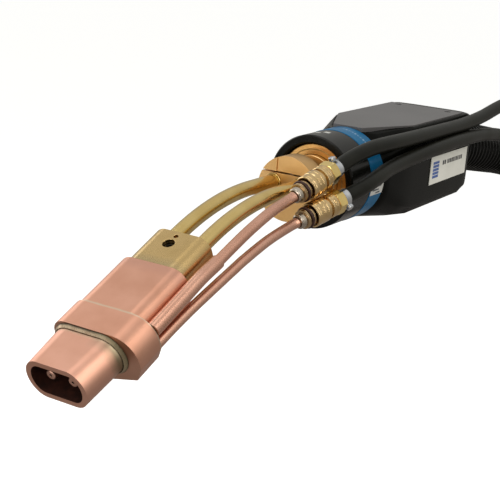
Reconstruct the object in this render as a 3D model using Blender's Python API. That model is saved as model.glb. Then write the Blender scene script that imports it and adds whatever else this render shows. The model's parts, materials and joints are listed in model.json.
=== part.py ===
"""Water-cooled tandem MIG welding torch for a robot: twin swan necks, water-jacketed gas nozzle,
two water couplings and a housing that bolts to the robot by its flat top plate."""

import math

import bmesh
import bpy
from mathutils import Matrix, Vector

# ---------------------------------------------------------------- driving dimensions (millimetres)
GAP = 0.3                      # clearance kept between pieces that touch

# The torch frame has its origin at the middle of the front ring; +Y runs back along the torch.
MOUNT_Y = 176.0                # middle of the mounting face, behind the front ring
FACE_Z = 41.6                  # mounting face, above the torch axis

RING_R = 40.0                  # front lock ring
RING_BORE = 32.7
RING_LENGTH = 35.3
BAND_START = 35.6              # blue band
BAND_END = 59.3
BAND_R = 40.4
BOSS_R = 36.7                  # housing boss that carries the band
HOUSING_END = 258.0

PLATE_THICK = 4.0
PLATE_FRONT_Y = 60.0
PLATE_WIDE_Y = 115.5
PLATE_REAR_Y = 231.0
PLATE_FRONT_HALF = 14.0
PLATE_WIDE_HALF = 38.3

CLAMP_R = 27.0                 # split brass clamp that holds the two necks
CLAMP_FRONT_Y = -40.0
CLAMP_REAR_Y = -20.6
SLIT_LOW = 12.2
SLIT_HIGH = 13.4
ROOT_R = 23.0

NECK_ANGLE = math.radians(24.0)    # how far the nozzle axis bends down from the torch axis
NECK_KINK_Y = -128.9               # where both axes cross
NECK_Z = 4.55
NECK_BEND_R = 252.0
NECK_SPACING = 25.2
NECK_R = 6.0
NECK_BORE = 1.9

NOZZLE_X = -3.0                # middle of the nozzle group, across
NOZZLE_N = -7.3                # and below the neck line
TIP_SPACING = 18.6

HEAD_START, HEAD_END = 54.4, 91.5          # stations along the nozzle axis, from the kink
SLEEVE_START, SLEEVE_END = 91.8, 143.6
JACKET_START, JACKET_END = 143.9, 167.7
NOZZLE_START, NOZZLE_END = 168.0, 205.0

PIPE_R = (4.2, 4.0)
PIPE_SLEEVE_R = 5.3
SHIELD_END_Y = -184.0           # the sleeve round the first pipe stops here
HOSE_R = 6.5
CONDUIT_R = 26.0
COUPLING_LENGTH = 34.5

# Cord routes, torch frame, millimetres. Each starts at its fitting and ends at its far fitting.
COUPLING_FRONT = ((33.0, -68.5, 10.8), (40.0, -70.2, -8.9))
COUPLING_AXIS = ((0.133, 0.949, 0.288), (0.22, 0.944, 0.244))
HOSE_ROUTES = (
    ((37.6, -35.5, 20.8), (41.3, -8.9, 28.9), (44.4, 16.0, 33.4), (46.8, 40.0, 34.6),
     (48.3, 66.0, 34.6), (49.0, 105.0, 34.3), (49.0, 157.0, 33.8), (49.2, 207.0, 33.8),
     (50.0, 254.0, 36.9), (51.0, 303.0, 43.0), (52.0, 362.0, 46.0), (54.0, 432.0, 35.0),
     (57.0, 505.0, 0.0), (60.0, 578.0, -58.0), (62.0, 638.0, -132.0), (63.0, 676.0, -212.0),
     (64.0, 694.0, -300.0), (64.0, 698.0, -390.0), (64.0, 698.0, -480.0)),
    ((47.66, -37.33, -0.4), (53.8, -10.9, 6.43), (54.6, 14.0, 11.4), (53.0, 38.0, 14.6),
     (52.6, 75.0, 17.4), (54.6, 126.0, 20.6), (55.2, 184.0, 21.9), (54.4, 250.0, 19.9),
     (53.4, 306.0, 12.9), (53.4, 370.0, 0.0), (55.0, 440.0, -22.0), (58.0, 507.0, -56.0),
     (61.0, 566.0, -104.0), (63.0, 615.0, -166.0), (64.5, 647.0, -238.0), (65.0, 662.0, -316.0),
     (65.0, 666.0, -400.0), (65.0, 666.0, -470.0)),
)
CUFF_Z = -7.0                  # the protective hose leaves the housing a little low
CONDUIT_ROUTE = (
    (0.0, HOUSING_END + GAP, CUFF_Z), (0.0, 292.0, CUFF_Z), (0.0, 324.0, -9.2), (0.0, 356.0, -14.0),
    (0.0, 392.0, -20.5), (0.0, 424.0, -26.3), (0.0, 458.0, -32.6), (1.0, 502.0, -43.0), (3.0, 549.0, -61.0),
    (7.0, 594.0, -88.0), (11.0, 636.0, -128.0), (15.0, 668.0, -178.0), (18.0, 689.0, -236.0),
    (20.0, 700.0, -298.0), (21.0, 703.0, -360.0), (21.0, 703.0, -420.0))

SIDES = 32                     # facets of the larger round pieces

for old in list(bpy.data.objects):
    bpy.data.objects.remove(old)

# ---------------------------------------------------------------- materials
LOOKS = {
    "copper": ((0.62, 0.29, 0.20), 1.0, 0.35),
    "brass": ((0.60, 0.40, 0.17), 1.0, 0.32),
    "brass_coupling": ((0.62, 0.46, 0.22), 1.0, 0.25),
    "solder": ((0.52, 0.50, 0.42), 1.0, 0.45),
    "steel": ((0.62, 0.62, 0.62), 1.0, 0.3),
    "black_steel": ((0.03, 0.03, 0.03), 0.6, 0.45),
    "black_plastic": ((0.016, 0.016, 0.015), 0.0, 0.38),
    "grey_plate": ((0.18, 0.175, 0.178), 0.6, 0.45),
    "blue_plastic": ((0.01, 0.09, 0.23), 0.0, 0.35),
    "label_paper": ((0.62, 0.62, 0.58), 0.0, 0.5),
    "rubber": ((0.02, 0.02, 0.02), 0.0, 0.6),
    "seal_rubber": ((0.09, 0.03, 0.025), 0.0, 0.5),
    "ceramic": ((0.75, 0.72, 0.66), 0.0, 0.6),
}


def material(name):
    found = bpy.data.materials.get(name)
    if found:
        return found
    colour, metallic, roughness = LOOKS[name]
    made = bpy.data.materials.new(name)
    made.use_nodes = True
    shader = made.node_tree.nodes["Principled BSDF"]
    shader.inputs["Base Color"].default_value = (*colour, 1.0)
    shader.inputs["Metallic"].default_value = metallic
    shader.inputs["Roughness"].default_value = roughness
    return made


# ---------------------------------------------------------------- frames
def torch(x, y, z):
    """World point, in metres, of a point given in millimetres in the torch frame."""
    return Vector((x, y - MOUNT_Y, z - FACE_Z)) * 0.001


def nozzle(x, n, s):
    """World point of x across, n above and s forward along the bent-down nozzle axis."""
    y = NECK_KINK_Y - s * math.cos(NECK_ANGLE) - n * math.sin(NECK_ANGLE)
    z = NECK_Z - s * math.sin(NECK_ANGLE) + n * math.cos(NECK_ANGLE)
    return torch(x, y, z)


def on_axis(start, axis):
    """Frame for turned pieces: maps (t along the axis, a across, b up) to a world point."""
    along = Vector(axis).normalized()
    side = Vector((0.0, 1.0, 0.0)) if abs(along.z) > 0.9 else Vector((0.0, 0.0, 1.0))
    across = along.cross(side).normalized()
    up = across.cross(along)
    base = Vector(start)

    def place(t, a, b):
        return torch(*(base + along * t + across * a + up * b))

    return place


def nozzle_axis(x, n):
    """The same, for pieces turned about a line parallel to the nozzle axis."""
    def place(t, a, b):
        return nozzle(x + a, n + b, t)

    return place


# ---------------------------------------------------------------- solids
def add(name, bm, look, origin=None, smooth=40.0):
    """Close the bmesh into an object, with its origin on its own joint axis where it moves."""
    bmesh.ops.recalc_face_normals(bm, faces=bm.faces)
    mesh = bpy.data.meshes.new(name)
    bm.to_mesh(mesh)
    bm.free()
    piece = bpy.data.objects.new(name, mesh)
    bpy.context.collection.objects.link(piece)
    if origin is not None:
        mesh.transform(Matrix.Translation(-origin))
        piece.location = origin
    mesh.materials.append(material(look))
    mesh.shade_smooth()
    mesh.set_sharp_from_angle(angle=math.radians(smooth))
    return piece


def skin(rings, closed_loop=False):
    """Skin a row of rings; the first and last are capped, or joined to each other in a loop."""
    bm = bmesh.new()
    rows = [[bm.verts.new(point) for point in ring] for ring in rings]
    pairs = list(zip(rows, rows[1:]))
    if closed_loop:
        pairs.append((rows[-1], rows[0]))
    for first, second in pairs:
        for i in range(len(first)):
            j = (i + 1) % len(first)
            bm.faces.new((first[i], first[j], second[j], second[i]))
    if not closed_loop:
        bm.faces.new(rows[0])
        bm.faces.new(rows[-1])
    return bm


def circle(place, t, r, sides=SIDES):
    turn = 2.0 * math.pi / sides
    return [place(t, r * math.cos(i * turn), r * math.sin(i * turn)) for i in range(sides)]


def hexagon(place, t, across_flats, sides=24):
    """A hexagon on the same number of points as the round rings beside it."""
    ring = []
    for i in range(sides):
        angle = 2.0 * math.pi * i / sides
        r = across_flats / 2.0 / math.cos((angle % (math.pi / 3.0)) - math.pi / 6.0)
        ring.append(place(t, r * math.cos(angle), r * math.sin(angle)))
    return ring


def turned(name, place, profile, look, hollow=False, sides=SIDES, origin=None):
    """Turn a profile of (t, radius) pairs; a hollow one is a closed outline around the bore."""
    rings = [circle(place, t, r, sides) for t, r in profile]
    return add(name, skin(rings, hollow), look, origin)


def rounded(corners, steps=6):
    """Outline of a polygon whose (x, y, radius) corners are arcs, as (x, y) points."""
    outline = []
    count = len(corners)
    for i, (x, y, r) in enumerate(corners):
        here = Vector((x, y))
        before = (Vector(corners[i - 1][:2]) - here).normalized()
        after = (Vector(corners[(i + 1) % count][:2]) - here).normalized()
        half = before.angle(after) / 2.0
        centre = here + (before + after).normalized() * (r / math.sin(half))
        begin = here + before * (r / math.tan(half)) - centre
        sweep = begin.angle_signed(here + after * (r / math.tan(half)) - centre)
        for k in range(steps + 1):
            spin = Matrix.Rotation(-sweep * k / steps, 2)
            outline.append(tuple(centre + spin @ begin))
    return outline


def box_outline(half_width, half_height, radius, x=0.0, y=0.0, steps=6):
    """Rounded rectangle about (x, y)."""
    w, h = half_width, half_height
    corners = ((x - w, y - h, radius), (x + w, y - h, radius),
               (x + w, y + h, radius), (x - w, y + h, radius))
    return rounded(corners, steps)


def group_ring(half_width, half_height, radius, s):
    """Ring of the nozzle group: a rounded rectangle at station s of the nozzle axis."""
    outline = box_outline(half_width, half_height, radius, NOZZLE_X, NOZZLE_N)
    return [nozzle(x, n, s) for x, n in outline]


def smooth_path(route, spacing):
    """Points along a smooth curve through the route, about spacing apart."""
    points = [Vector(p) for p in route]
    ends = [points[0] * 2.0 - points[1]] + points + [points[-1] * 2.0 - points[-2]]
    fine = []
    for a, b, c, d in zip(ends, ends[1:], ends[2:], ends[3:]):
        for k in range(16):
            t = k / 16.0
            fine.append(0.5 * ((2.0 * b) + (c - a) * t + (2.0 * a - 5.0 * b + 4.0 * c - d) * t * t
                               + (3.0 * b - a - 3.0 * c + d) * t ** 3))
    fine.append(points[-1])
    reach = [0.0]
    for a, b in zip(fine, fine[1:]):
        reach.append(reach[-1] + (b - a).length)
    count = max(2, round(reach[-1] / spacing))
    path = []
    k = 0
    for i in range(count + 1):
        goal = reach[-1] * i / count
        while k < len(fine) - 2 and reach[k + 1] < goal:
            k += 1
        share = (goal - reach[k]) / max(reach[k + 1] - reach[k], 1e-9)
        path.append(fine[k].lerp(fine[k + 1], min(share, 1.0)))
    return path


def swept(name, path, radius, look, bore=0.0, sides=16):
    """A bent rod or tube: rings square to the path, hollow where a bore is given."""
    outer, inner = [], []
    for i, point in enumerate(path):
        ahead = path[min(i + 1, len(path) - 1)] - path[max(i - 1, 0)]
        along = ahead.normalized()
        across = along.cross(Vector((0.0, 0.0, 1.0))).normalized()
        up = across.cross(along)
        for ring, r in ((outer, radius), (inner, bore)):
            turn = 2.0 * math.pi / sides
            ring.append([torch(*(point + across * (r * math.cos(k * turn))
                                 + up * (r * math.sin(k * turn)))) for k in range(sides)])
    if bore:
        return add(name, skin(outer + inner[::-1], True), look)
    return add(name, skin(outer), look)


def cord(name, route, radius, spacing, look, resolution=3):
    """A free hose: one poly spline with a round bevel and filled ends."""
    path = smooth_path(route, spacing)
    curve = bpy.data.curves.new(name, "CURVE")
    curve.dimensions = "3D"
    curve.bevel_depth = radius * 0.001
    curve.bevel_resolution = resolution
    curve.use_fill_caps = True
    spline = curve.splines.new("POLY")
    spline.points.add(len(path) - 1)
    for slot, point in zip(spline.points, path):
        slot.co = (*torch(*point), 1.0)
    piece = bpy.data.objects.new(name, curve)
    bpy.context.collection.objects.link(piece)
    curve.materials.append(material(look))
    return piece


def cut(piece, name, bm):
    """Take the bmesh's volume out of the piece."""
    cutter = add(f"cut_{name}", bm, "steel")
    cutter.hide_render = True
    cutter.display_type = "WIRE"
    change = piece.modifiers.new(name, "BOOLEAN")
    change.operation = "DIFFERENCE"
    change.object = cutter


def prism(outline, low, high, place):
    """Extrude an (a, b) outline from t=low to t=high with the given placing function."""
    return skin([[place(low, a, b) for a, b in outline], [place(high, a, b) for a, b in outline]])


def flat(z, x, y):
    return torch(x, y, z)


def upright(y, x, z):
    return torch(x, y, z)


def along_nozzle(s, x, n):
    return nozzle(x, n, s)


# ---------------------------------------------------------------- housing
# Half sections of the housing: top corner, two side corners, bottom corner, then how round they are.
CIRCLE_CORNER = math.tan(math.radians(22.5))


def round_section(r):
    c = r * CIRCLE_CORNER
    return (c, r), (r, c), (r, -c), (c, -r), 1.0


HOUSING = (
    (BAND_START, round_section(BOSS_R)),
    (BAND_END, round_section(BOSS_R)),
    (BAND_END + GAP, round_section(RING_R)),
    (72.0, ((21.0, 40.8), (40.8, 20.0), (40.8, -19.5), (22.0, -40.4), 0.75)),
    (92.0, ((31.0, 41.2), (42.4, 24.0), (42.4, -27.0), (32.0, -40.6), 0.5)),
    (115.0, ((39.9, 41.3), (43.5, 26.0), (43.5, -33.0), (38.5, -40.6), 0.3)),
    (239.0, ((39.9, 41.3), (43.5, 26.0), (43.5, -33.0), (38.5, -40.6), 0.3)),
    (250.0, ((38.6, 39.8), (42.4, 25.0), (42.4, -32.0), (36.6, -39.4), 0.4)),
    (255.5, ((36.2, 37.0), (40.0, 22.0), (40.0, -29.0), (33.6, -37.0), 0.45)),
    (HOUSING_END, ((33.0, 33.0), (36.4, 19.0), (36.4, -22.0), (29.0, -34.0), 0.55)),
)


def housing_ring(y, section, steps=4):
    """One section as a ring: each corner of the polygon is a curve between its edges."""
    *half, roundness = section
    corners = [Vector(p) for p in half] + [Vector((-x, z)) for x, z in reversed(half)]
    ring = []
    for i, corner in enumerate(corners):
        into = corner.lerp(corners[i - 1], roundness / 2.0)
        out = corner.lerp(corners[(i + 1) % len(corners)], roundness / 2.0)
        for k in range(steps + 1):
            t = k / steps
            point = into * (1 - t) ** 2 + corner * (2 * t * (1 - t)) + out * t * t
            ring.append(torch(point.x, y, point.y))
    return ring


def plate_outline(grow, run_out=0.0):
    """The six-sided mounting plate, grown all round and run out at the front."""
    lean = math.atan2(PLATE_WIDE_HALF - PLATE_FRONT_HALF, PLATE_WIDE_Y - PLATE_FRONT_Y)
    front = PLATE_FRONT_Y - grow - run_out
    wide = PLATE_WIDE_Y - grow * math.tan((math.pi / 2.0 - lean) / 2.0) * 0.5
    front_half = PLATE_FRONT_HALF + grow * (1.0 / math.cos(lean) - math.tan(lean))
    side = PLATE_WIDE_HALF + grow
    rear = PLATE_REAR_Y + grow
    half = ((front_half, front), (side, wide), (side, rear))
    return [*half, *((-x, y) for x, y in reversed(half))]


def build_housing():
    bottom = FACE_Z - PLATE_THICK
    body = add("housing_body", skin([housing_ring(y, s) for y, s in HOUSING]), "black_plastic",
               smooth=30.0)
    cut(body, "plate_pocket", prism(plate_outline(GAP, 2.0), bottom - GAP, FACE_Z + 5.0, flat))

    plate = add("mount_plate", prism(plate_outline(0.0), bottom, FACE_Z, flat), "grey_plate")
    for i, side in enumerate((-1, 1), start=1):
        spot = on_axis((side * 26.3, 222.0, bottom - 1.0), (0.0, 0.0, 1.0))
        cut(plate, f"screw_hole_{i}", skin([circle(spot, 0.0, 3.4, 16), circle(spot, 9.0, 3.4, 16)]))
        turned(f"mount_screw_{i}", spot, ((1.3, 2.9), (3.4, 2.9), (3.6, 2.6)), "black_steel",
               sides=16)

    place = on_axis((0.0, 0.0, 0.0), (0.0, 1.0, 0.0))
    turned("colour_band", place,
           ((BAND_START, BOSS_R + GAP), (BAND_START, BAND_R - 0.4), (BAND_START + 0.4, BAND_R),
            (BAND_END - 0.4, BAND_R), (BAND_END, BAND_R - 0.4), (BAND_END, BOSS_R + GAP)),
           "blue_plastic", hollow=True)
    turned("lock_ring", place,
           ((0.0, RING_BORE + 0.8), (0.0, RING_R - 0.8), (0.8, RING_R), (RING_LENGTH - 0.4, RING_R),
            (RING_LENGTH, RING_R - 0.4), (RING_LENGTH, RING_BORE + 1.0), (0.8, RING_BORE)),
           "black_plastic", hollow=True, origin=torch(0.0, 0.0, 0.0))

    x = HOUSING[5][1][1][0]
    label = prism([(152.0, -18.5), (240.0, -18.5), (240.0, 8.0), (152.0, 8.0)], x + GAP, x + 0.8,
                  lambda t, y, z: torch(t, y, z))
    add("side_label", label, "label_paper")

    cuff = on_axis((0.0, HOUSING_END + GAP, CUFF_Z), (0.0, 1.0, 0.0))
    bore = CONDUIT_R + GAP
    turned("rear_cuff", cuff, ((0.0, bore), (0.0, 31.0), (10.0, 31.0), (12.0, 30.0), (27.0, 28.2),
                               (28.0, 27.6), (28.0, bore)), "rubber", hollow=True)


# ---------------------------------------------------------------- brass neck root and clamp
def build_clamp():
    place = on_axis((0.0, 0.0, 0.0), (0.0, 1.0, 0.0))
    turned("neck_root", place, ((CLAMP_REAR_Y + GAP, ROOT_R), (8.0, ROOT_R), (8.0, ROOT_R - 1.0),
                                (RING_LENGTH, ROOT_R - 1.0)), "brass")
    turned("neck_flange", place, ((5.0, ROOT_R + GAP), (5.0, 31.4), (6.0, 32.3), (12.0, 32.3),
                                  (12.0, ROOT_R + GAP)), "brass", hollow=True)

    def segment(z, upper, steps=22):
        """Round section of the clamp above or below the slit."""
        start = math.asin(z / CLAMP_R)
        stop = math.pi - start if upper else -math.pi - start
        return [(CLAMP_R * math.cos(start + (stop - start) * k / steps),
                 CLAMP_R * math.sin(start + (stop - start) * k / steps)) for k in range(steps + 1)]

    base = add("clamp_base", prism(segment(SLIT_LOW, False), CLAMP_FRONT_Y, CLAMP_REAR_Y, upright),
               "brass")
    for i, side in enumerate((-1, 1), start=1):
        bore = on_axis((side * NECK_SPACING / 2.0, -50.0, NECK_Z), (0.0, 1.0, 0.0))
        cut(base, f"neck_bore_{i}", skin([circle(bore, 0.0, NECK_R + GAP, 24),
                                          circle(bore, 40.0, NECK_R + GAP, 24)]))
    cap = add("clamp_cap", prism(segment(SLIT_HIGH, True), CLAMP_FRONT_Y, CLAMP_REAR_Y - 1.5, upright),
              "brass")
    middle = (CLAMP_FRONT_Y + CLAMP_REAR_Y) / 2.0 - 1.0
    screw = on_axis((0.0, middle, -30.0), (0.0, 0.0, 1.0))
    profile = ((-5.0, 6.0), (10.0, 6.0), (10.0, 3.3), (50.0, 3.3))
    cut(base, "screw_seat", skin([circle(screw, t, r, 20) for t, r in profile]))
    cut(cap, "screw_thread", skin([circle(screw, 40.0, 3.3, 20), circle(screw, 51.0, 3.3, 20)]))
    turned("clamp_screw", screw, ((4.6, 4.6), (5.0, 5.0), (9.7, 5.0), (9.7, 3.0), (50.4, 3.0)),
           "steel", sides=20)


# ---------------------------------------------------------------- twin necks
def neck_path(x):
    """Straight out of the clamp, down round the bend and into the head block."""
    lead = NECK_BEND_R * math.tan(NECK_ANGLE / 2.0)
    path = [Vector((x, CLAMP_REAR_Y, NECK_Z))]
    turn_y = NECK_KINK_Y + lead
    for k in range(13):
        angle = NECK_ANGLE * k / 12
        path.append(Vector((x, turn_y - NECK_BEND_R * math.sin(angle),
                            NECK_Z - NECK_BEND_R * (1.0 - math.cos(angle)))))
    end = HEAD_START + 7.6
    path.append(Vector((x, NECK_KINK_Y - end * math.cos(NECK_ANGLE),
                        NECK_Z - end * math.sin(NECK_ANGLE))))
    return path


def build_necks():
    for i, side in enumerate((-1, 1), start=1):
        path = neck_path(side * NECK_SPACING / 2.0)
        swept(f"neck_tube_{i}", path, NECK_R, "brass", bore=NECK_BORE, sides=20)
        swept(f"wire_liner_{i}", path, NECK_BORE - GAP, "steel", sides=8)


# ---------------------------------------------------------------- nozzle group
def build_nozzle_group():
    head = add("head_block", skin([group_ring(23.9, 15.3, 10.4, HEAD_START),
                                   group_ring(24.5, 15.9, 11.0, HEAD_START + 0.8),
                                   group_ring(24.5, 15.9, 11.0, HEAD_END)]), "brass")
    for i, side in enumerate((-1, 1), start=1):
        bore = nozzle_axis(side * NECK_SPACING / 2.0, 0.0)
        cut(head, f"neck_socket_{i}", skin([circle(bore, HEAD_START - 5.0, NECK_R + GAP, 24),
                                            circle(bore, HEAD_START + 8.0, NECK_R + GAP, 24)]))
    for name, x, s, r, depth in (("screw_hole", -4.7, 68.4, 4.6, 11.0), ("pin_hole", -4.2, 59.6, 1.8, 5.0)):
        top = NOZZLE_N + 15.9

        def down(t, a, b, x=x, s=s):
            return nozzle(x + a, t, s + b)

        cut(head, name, skin([circle(down, top - depth, r, 20), circle(down, top + 5.0, r, 20)]))
        if name == "screw_hole":
            turned("head_set_screw", down, ((top - depth + GAP, 4.2), (top - 3.4, 4.2),
                                            (top - 2.8, 3.7)), "black_steel", sides=20)

    rings = [(28.3, 16.0, 11.5, SLEEVE_START), (28.8, 16.5, 12.0, SLEEVE_START + 0.6),
             (28.8, 16.5, 12.0, SLEEVE_END), (25.3, 13.0, 8.5, SLEEVE_END),
             (25.3, 13.0, 8.5, SLEEVE_START)]
    add("jacket_sleeve", skin([group_ring(*ring) for ring in rings], True), "copper")

    corners = ((-32.8, 10.2, 12.0), (37.5, 10.2, 18.0), (36.2, -14.0, 5.0), (31.0, -24.5, 2.0),
               (8.0, -31.0, 8.0), (-32.8, -31.0, 14.0))
    jacket = add("water_jacket", prism(rounded(corners), JACKET_START, JACKET_END, along_nozzle),
                 "copper")
    window = box_outline(22.5, 10.6, 8.0, NOZZLE_X, NOZZLE_N)
    cut(jacket, "gas_window", prism(window, JACKET_START - 5.0, JACKET_END + 5.0, along_nozzle))

    # racetrack sections of the gas nozzle: half straight length, end radius, station
    profile = ((13.4, 14.65, NOZZLE_START), (9.3, 15.55, NOZZLE_END - 1.6),
               (9.3, 15.05, NOZZLE_END - 0.4), (9.3, 13.9, NOZZLE_END), (9.3, 12.4, NOZZLE_END - 0.3),
               (9.3, 11.2, NOZZLE_END - 1.8), (12.4, 11.0, NOZZLE_START))
    rings = [group_ring(half + r, r, r - 0.01, s) for half, r, s in profile]
    add("gas_nozzle", skin(rings, True), "copper")
    bead = ((13.4, 14.65 + GAP, NOZZLE_START), (13.4, 17.1, NOZZLE_START),
            (13.2, 15.05 + GAP, NOZZLE_START + 2.6))
    rings = [group_ring(half + r, r, r - 0.01, s) for half, r, s in bead]
    add("nozzle_solder_bead", skin(rings, True), "solder")

    for i, side in enumerate((-1, 1), start=1):
        place = nozzle_axis(NOZZLE_X + side * TIP_SPACING / 2.0, NOZZLE_N)
        turned(f"tip_holder_{i}", place, ((HEAD_END + GAP, 6.0), (159.0, 6.0), (160.0, 5.2)),
               "brass", sides=20)
        turned(f"tip_insulator_{i}", place,
               ((HEAD_END + 2 * GAP, 6.3), (HEAD_END + 2 * GAP, 8.6), (104.0, 8.6), (105.0, 7.8),
                (105.0, 6.3)), "ceramic", hollow=True, sides=20)
        turned(f"gas_diffuser_{i}", place, ((140.0, 6.3), (140.0, 7.4), (141.0, 8.2), (153.0, 8.2),
                                            (154.5, 7.2), (154.5, 6.3)), "brass", hollow=True, sides=20)
        turned(f"contact_tip_{i}", place,
               ((160.3, 0.9), (160.3, 4.6), (164.0, 4.8), (187.0, 4.8), (196.0, 3.9), (199.5, 3.6),
                (199.5, 0.9)), "copper", hollow=True, sides=20,
               origin=nozzle(NOZZLE_X + side * TIP_SPACING / 2.0, NOZZLE_N, 160.3))


# ---------------------------------------------------------------- cooling water
def nozzle_point(x, n, s):
    """A point of the nozzle frame, in torch-frame millimetres."""
    return ((x, NECK_KINK_Y - s * math.cos(NECK_ANGLE) - n * math.sin(NECK_ANGLE),
             NECK_Z - s * math.sin(NECK_ANGLE) + n * math.cos(NECK_ANGLE)))


def build_cooling():
    cup = 15.0                 # the solder cup starts this far in front of the coupling
    routes = ([nozzle_point(31.6, -0.8, s) for s in (JACKET_START - GAP, 124.0, 104.0, 84.0)],
              [nozzle_point(30.5, -14.5, JACKET_START - GAP), nozzle_point(30.6, -14.9, 124.0),
               nozzle_point(31.0, -15.6, 104.0), nozzle_point(32.0, -16.4, 84.0)])
    bends = (((31.8, -186.0, -23.2), (31.8, -166.0, -15.4), (31.7, -145.0, -7.8), (31.4, -116.0, 0.6)),
             ((33.6, -168.0, -32.8), (34.2, -153.0, -27.5), (35.0, -124.0, -19.4)))
    for i in (0, 1):
        axis = Vector(COUPLING_AXIS[i]).normalized()
        front = Vector(COUPLING_FRONT[i])
        end = front - axis * cup
        route = [*routes[i], *bends[i], tuple(end - axis * 9.0), tuple(end)]
        path = smooth_path(route, 7.0)
        swept(f"cooling_pipe_{i + 1}", path, PIPE_R[i], "copper")
        if i == 0:
            shield = [p for p in path if p.y < SHIELD_END_Y]
            swept("pipe_sleeve", shield, PIPE_SLEEVE_R, "copper", bore=PIPE_R[0] + GAP)
        build_coupling(i, on_axis(tuple(front), tuple(axis)), cup)


def build_coupling(i, place, cup):
    number = i + 1
    turned(f"coupling_plug_{number}", place,
           ((2 * GAP - cup, 4.8), (1.3 - cup, 6.1), (5.6 - cup, 6.3), (6.0 - cup, 7.8), (8.2 - cup, 7.8),
            (8.6 - cup, 6.7), (11.6 - cup, 6.7), (12.0 - cup, 7.9), (13.6 - cup, 7.9),
            (14.0 - cup, 6.0), (7.5, 6.0)), "brass_coupling", sides=24)
    ring = [(10.1 - cup + 1.0 * math.cos(k * math.pi / 4.0), 8.0 + 1.0 * math.sin(k * math.pi / 4.0))
            for k in range(8)]
    turned(f"plug_seal_{number}", place, ring, "seal_rubber", hollow=True, sides=24)
    turned(f"coupling_collar_{number}", place,
           ((0.0, 8.6), (0.0, 9.6), (0.8, 10.3), (5.6, 10.3), (6.2, 9.7), (7.4, 9.7), (8.0, 10.3),
            (14.4, 10.3), (15.0, 9.8), (15.0, 8.3), (1.0, 8.3)), "brass_coupling", hollow=True,
           sides=24, origin=place(0.0, 0.0, 0.0))
    rings = [circle(place, t, r, 24) for t, r in
             ((7.8, 7.4), (8.4, 7.9), (18.3, 7.9), (18.3, 9.2), (18.8, 9.7), (21.0, 9.7), (21.5, 9.1),
              (22.1, 9.1), (22.6, 9.7), (25.2, 9.7), (25.6, 8.6), (26.0, 8.6))]
    rings += [hexagon(place, 26.0, 17.6), hexagon(place, COUPLING_LENGTH - 0.8, 17.6)]
    rings.append(circle(place, COUPLING_LENGTH, 8.0, 24))
    add(f"coupling_body_{number}", skin(rings), "brass_coupling")
    ear_angle = (100.0, -40.0)[i]
    ear_clamp(f"hose_clamp_{number}", place, COUPLING_LENGTH + 1.2, ear_angle)
    cord(f"water_hose_{number}", HOSE_ROUTES[i], HOSE_R, 28.0, "rubber")

    last, end = Vector(HOSE_ROUTES[i][-2]), Vector(HOSE_ROUTES[i][-1])
    far = on_axis(tuple(end), tuple(end - last))
    ear_clamp(f"hose_end_clamp_{number}", far, -9.0, 60.0)
    rings = [circle(far, GAP, 8.0, 24), hexagon(far, 1.1, 17.0), hexagon(far, 8.0, 17.0)]
    rings += [circle(far, t, r, 24) for t, r in ((8.0, 6.2), (12.0, 6.2), (12.6, 7.4), (16.0, 7.4),
                                                 (16.6, 5.2), (28.0, 5.2), (29.0, 4.4))]
    add(f"hose_end_plug_{number}", skin(rings), "brass_coupling")


def ear_clamp(name, place, t, ear_angle, width=5.5, sides=36):
    """A steel band round the hose with its pinched ear standing up at one angle."""
    def outer(angle):
        off = abs((math.degrees(angle) - ear_angle + 180.0) % 360.0 - 180.0)
        return HOSE_R + GAP + 0.9 + (3.4 if off < 16.0 else 0.0)

    def ring(t, radius):
        points = []
        for k in range(sides):
            angle = 2.0 * math.pi * k / sides
            r = radius(angle)
            points.append(place(t, r * math.cos(angle), r * math.sin(angle)))
        return points

    def inner(angle):
        return HOSE_R + GAP

    rings = [ring(t, inner), ring(t, outer), ring(t + width, outer), ring(t + width, inner)]
    add(name, skin(rings, True), "steel")


def build_conduit():
    cord("protective_hose", CONDUIT_ROUTE, CONDUIT_R, 28.0, "rubber", resolution=4)
    last, end = Vector(CONDUIT_ROUTE[-2]), Vector(CONDUIT_ROUTE[-1])
    far = on_axis(tuple(end), tuple(end - last))
    bore = CONDUIT_R + GAP
    turned("hose_end_cuff", far, ((-26.0, bore), (-26.0, 28.0), (-12.0, 30.4), (0.0, 30.4),
                                  (0.0, bore)), "rubber", hollow=True)
    turned("torch_connector", far, ((GAP, 30.0), (6.0, 30.0), (7.0, 27.0), (30.0, 27.0), (31.0, 25.5),
                                    (31.0, 14.0), (44.0, 14.0), (45.0, 13.0)), "brass_coupling")


build_housing()
build_clamp()
build_necks()
build_nozzle_group()
build_cooling()
build_conduit()
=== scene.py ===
"""Looks of the tandem MIG welding torch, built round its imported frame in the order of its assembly."""

import json
import math

import bpy
from mathutils import Matrix, Vector

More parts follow.
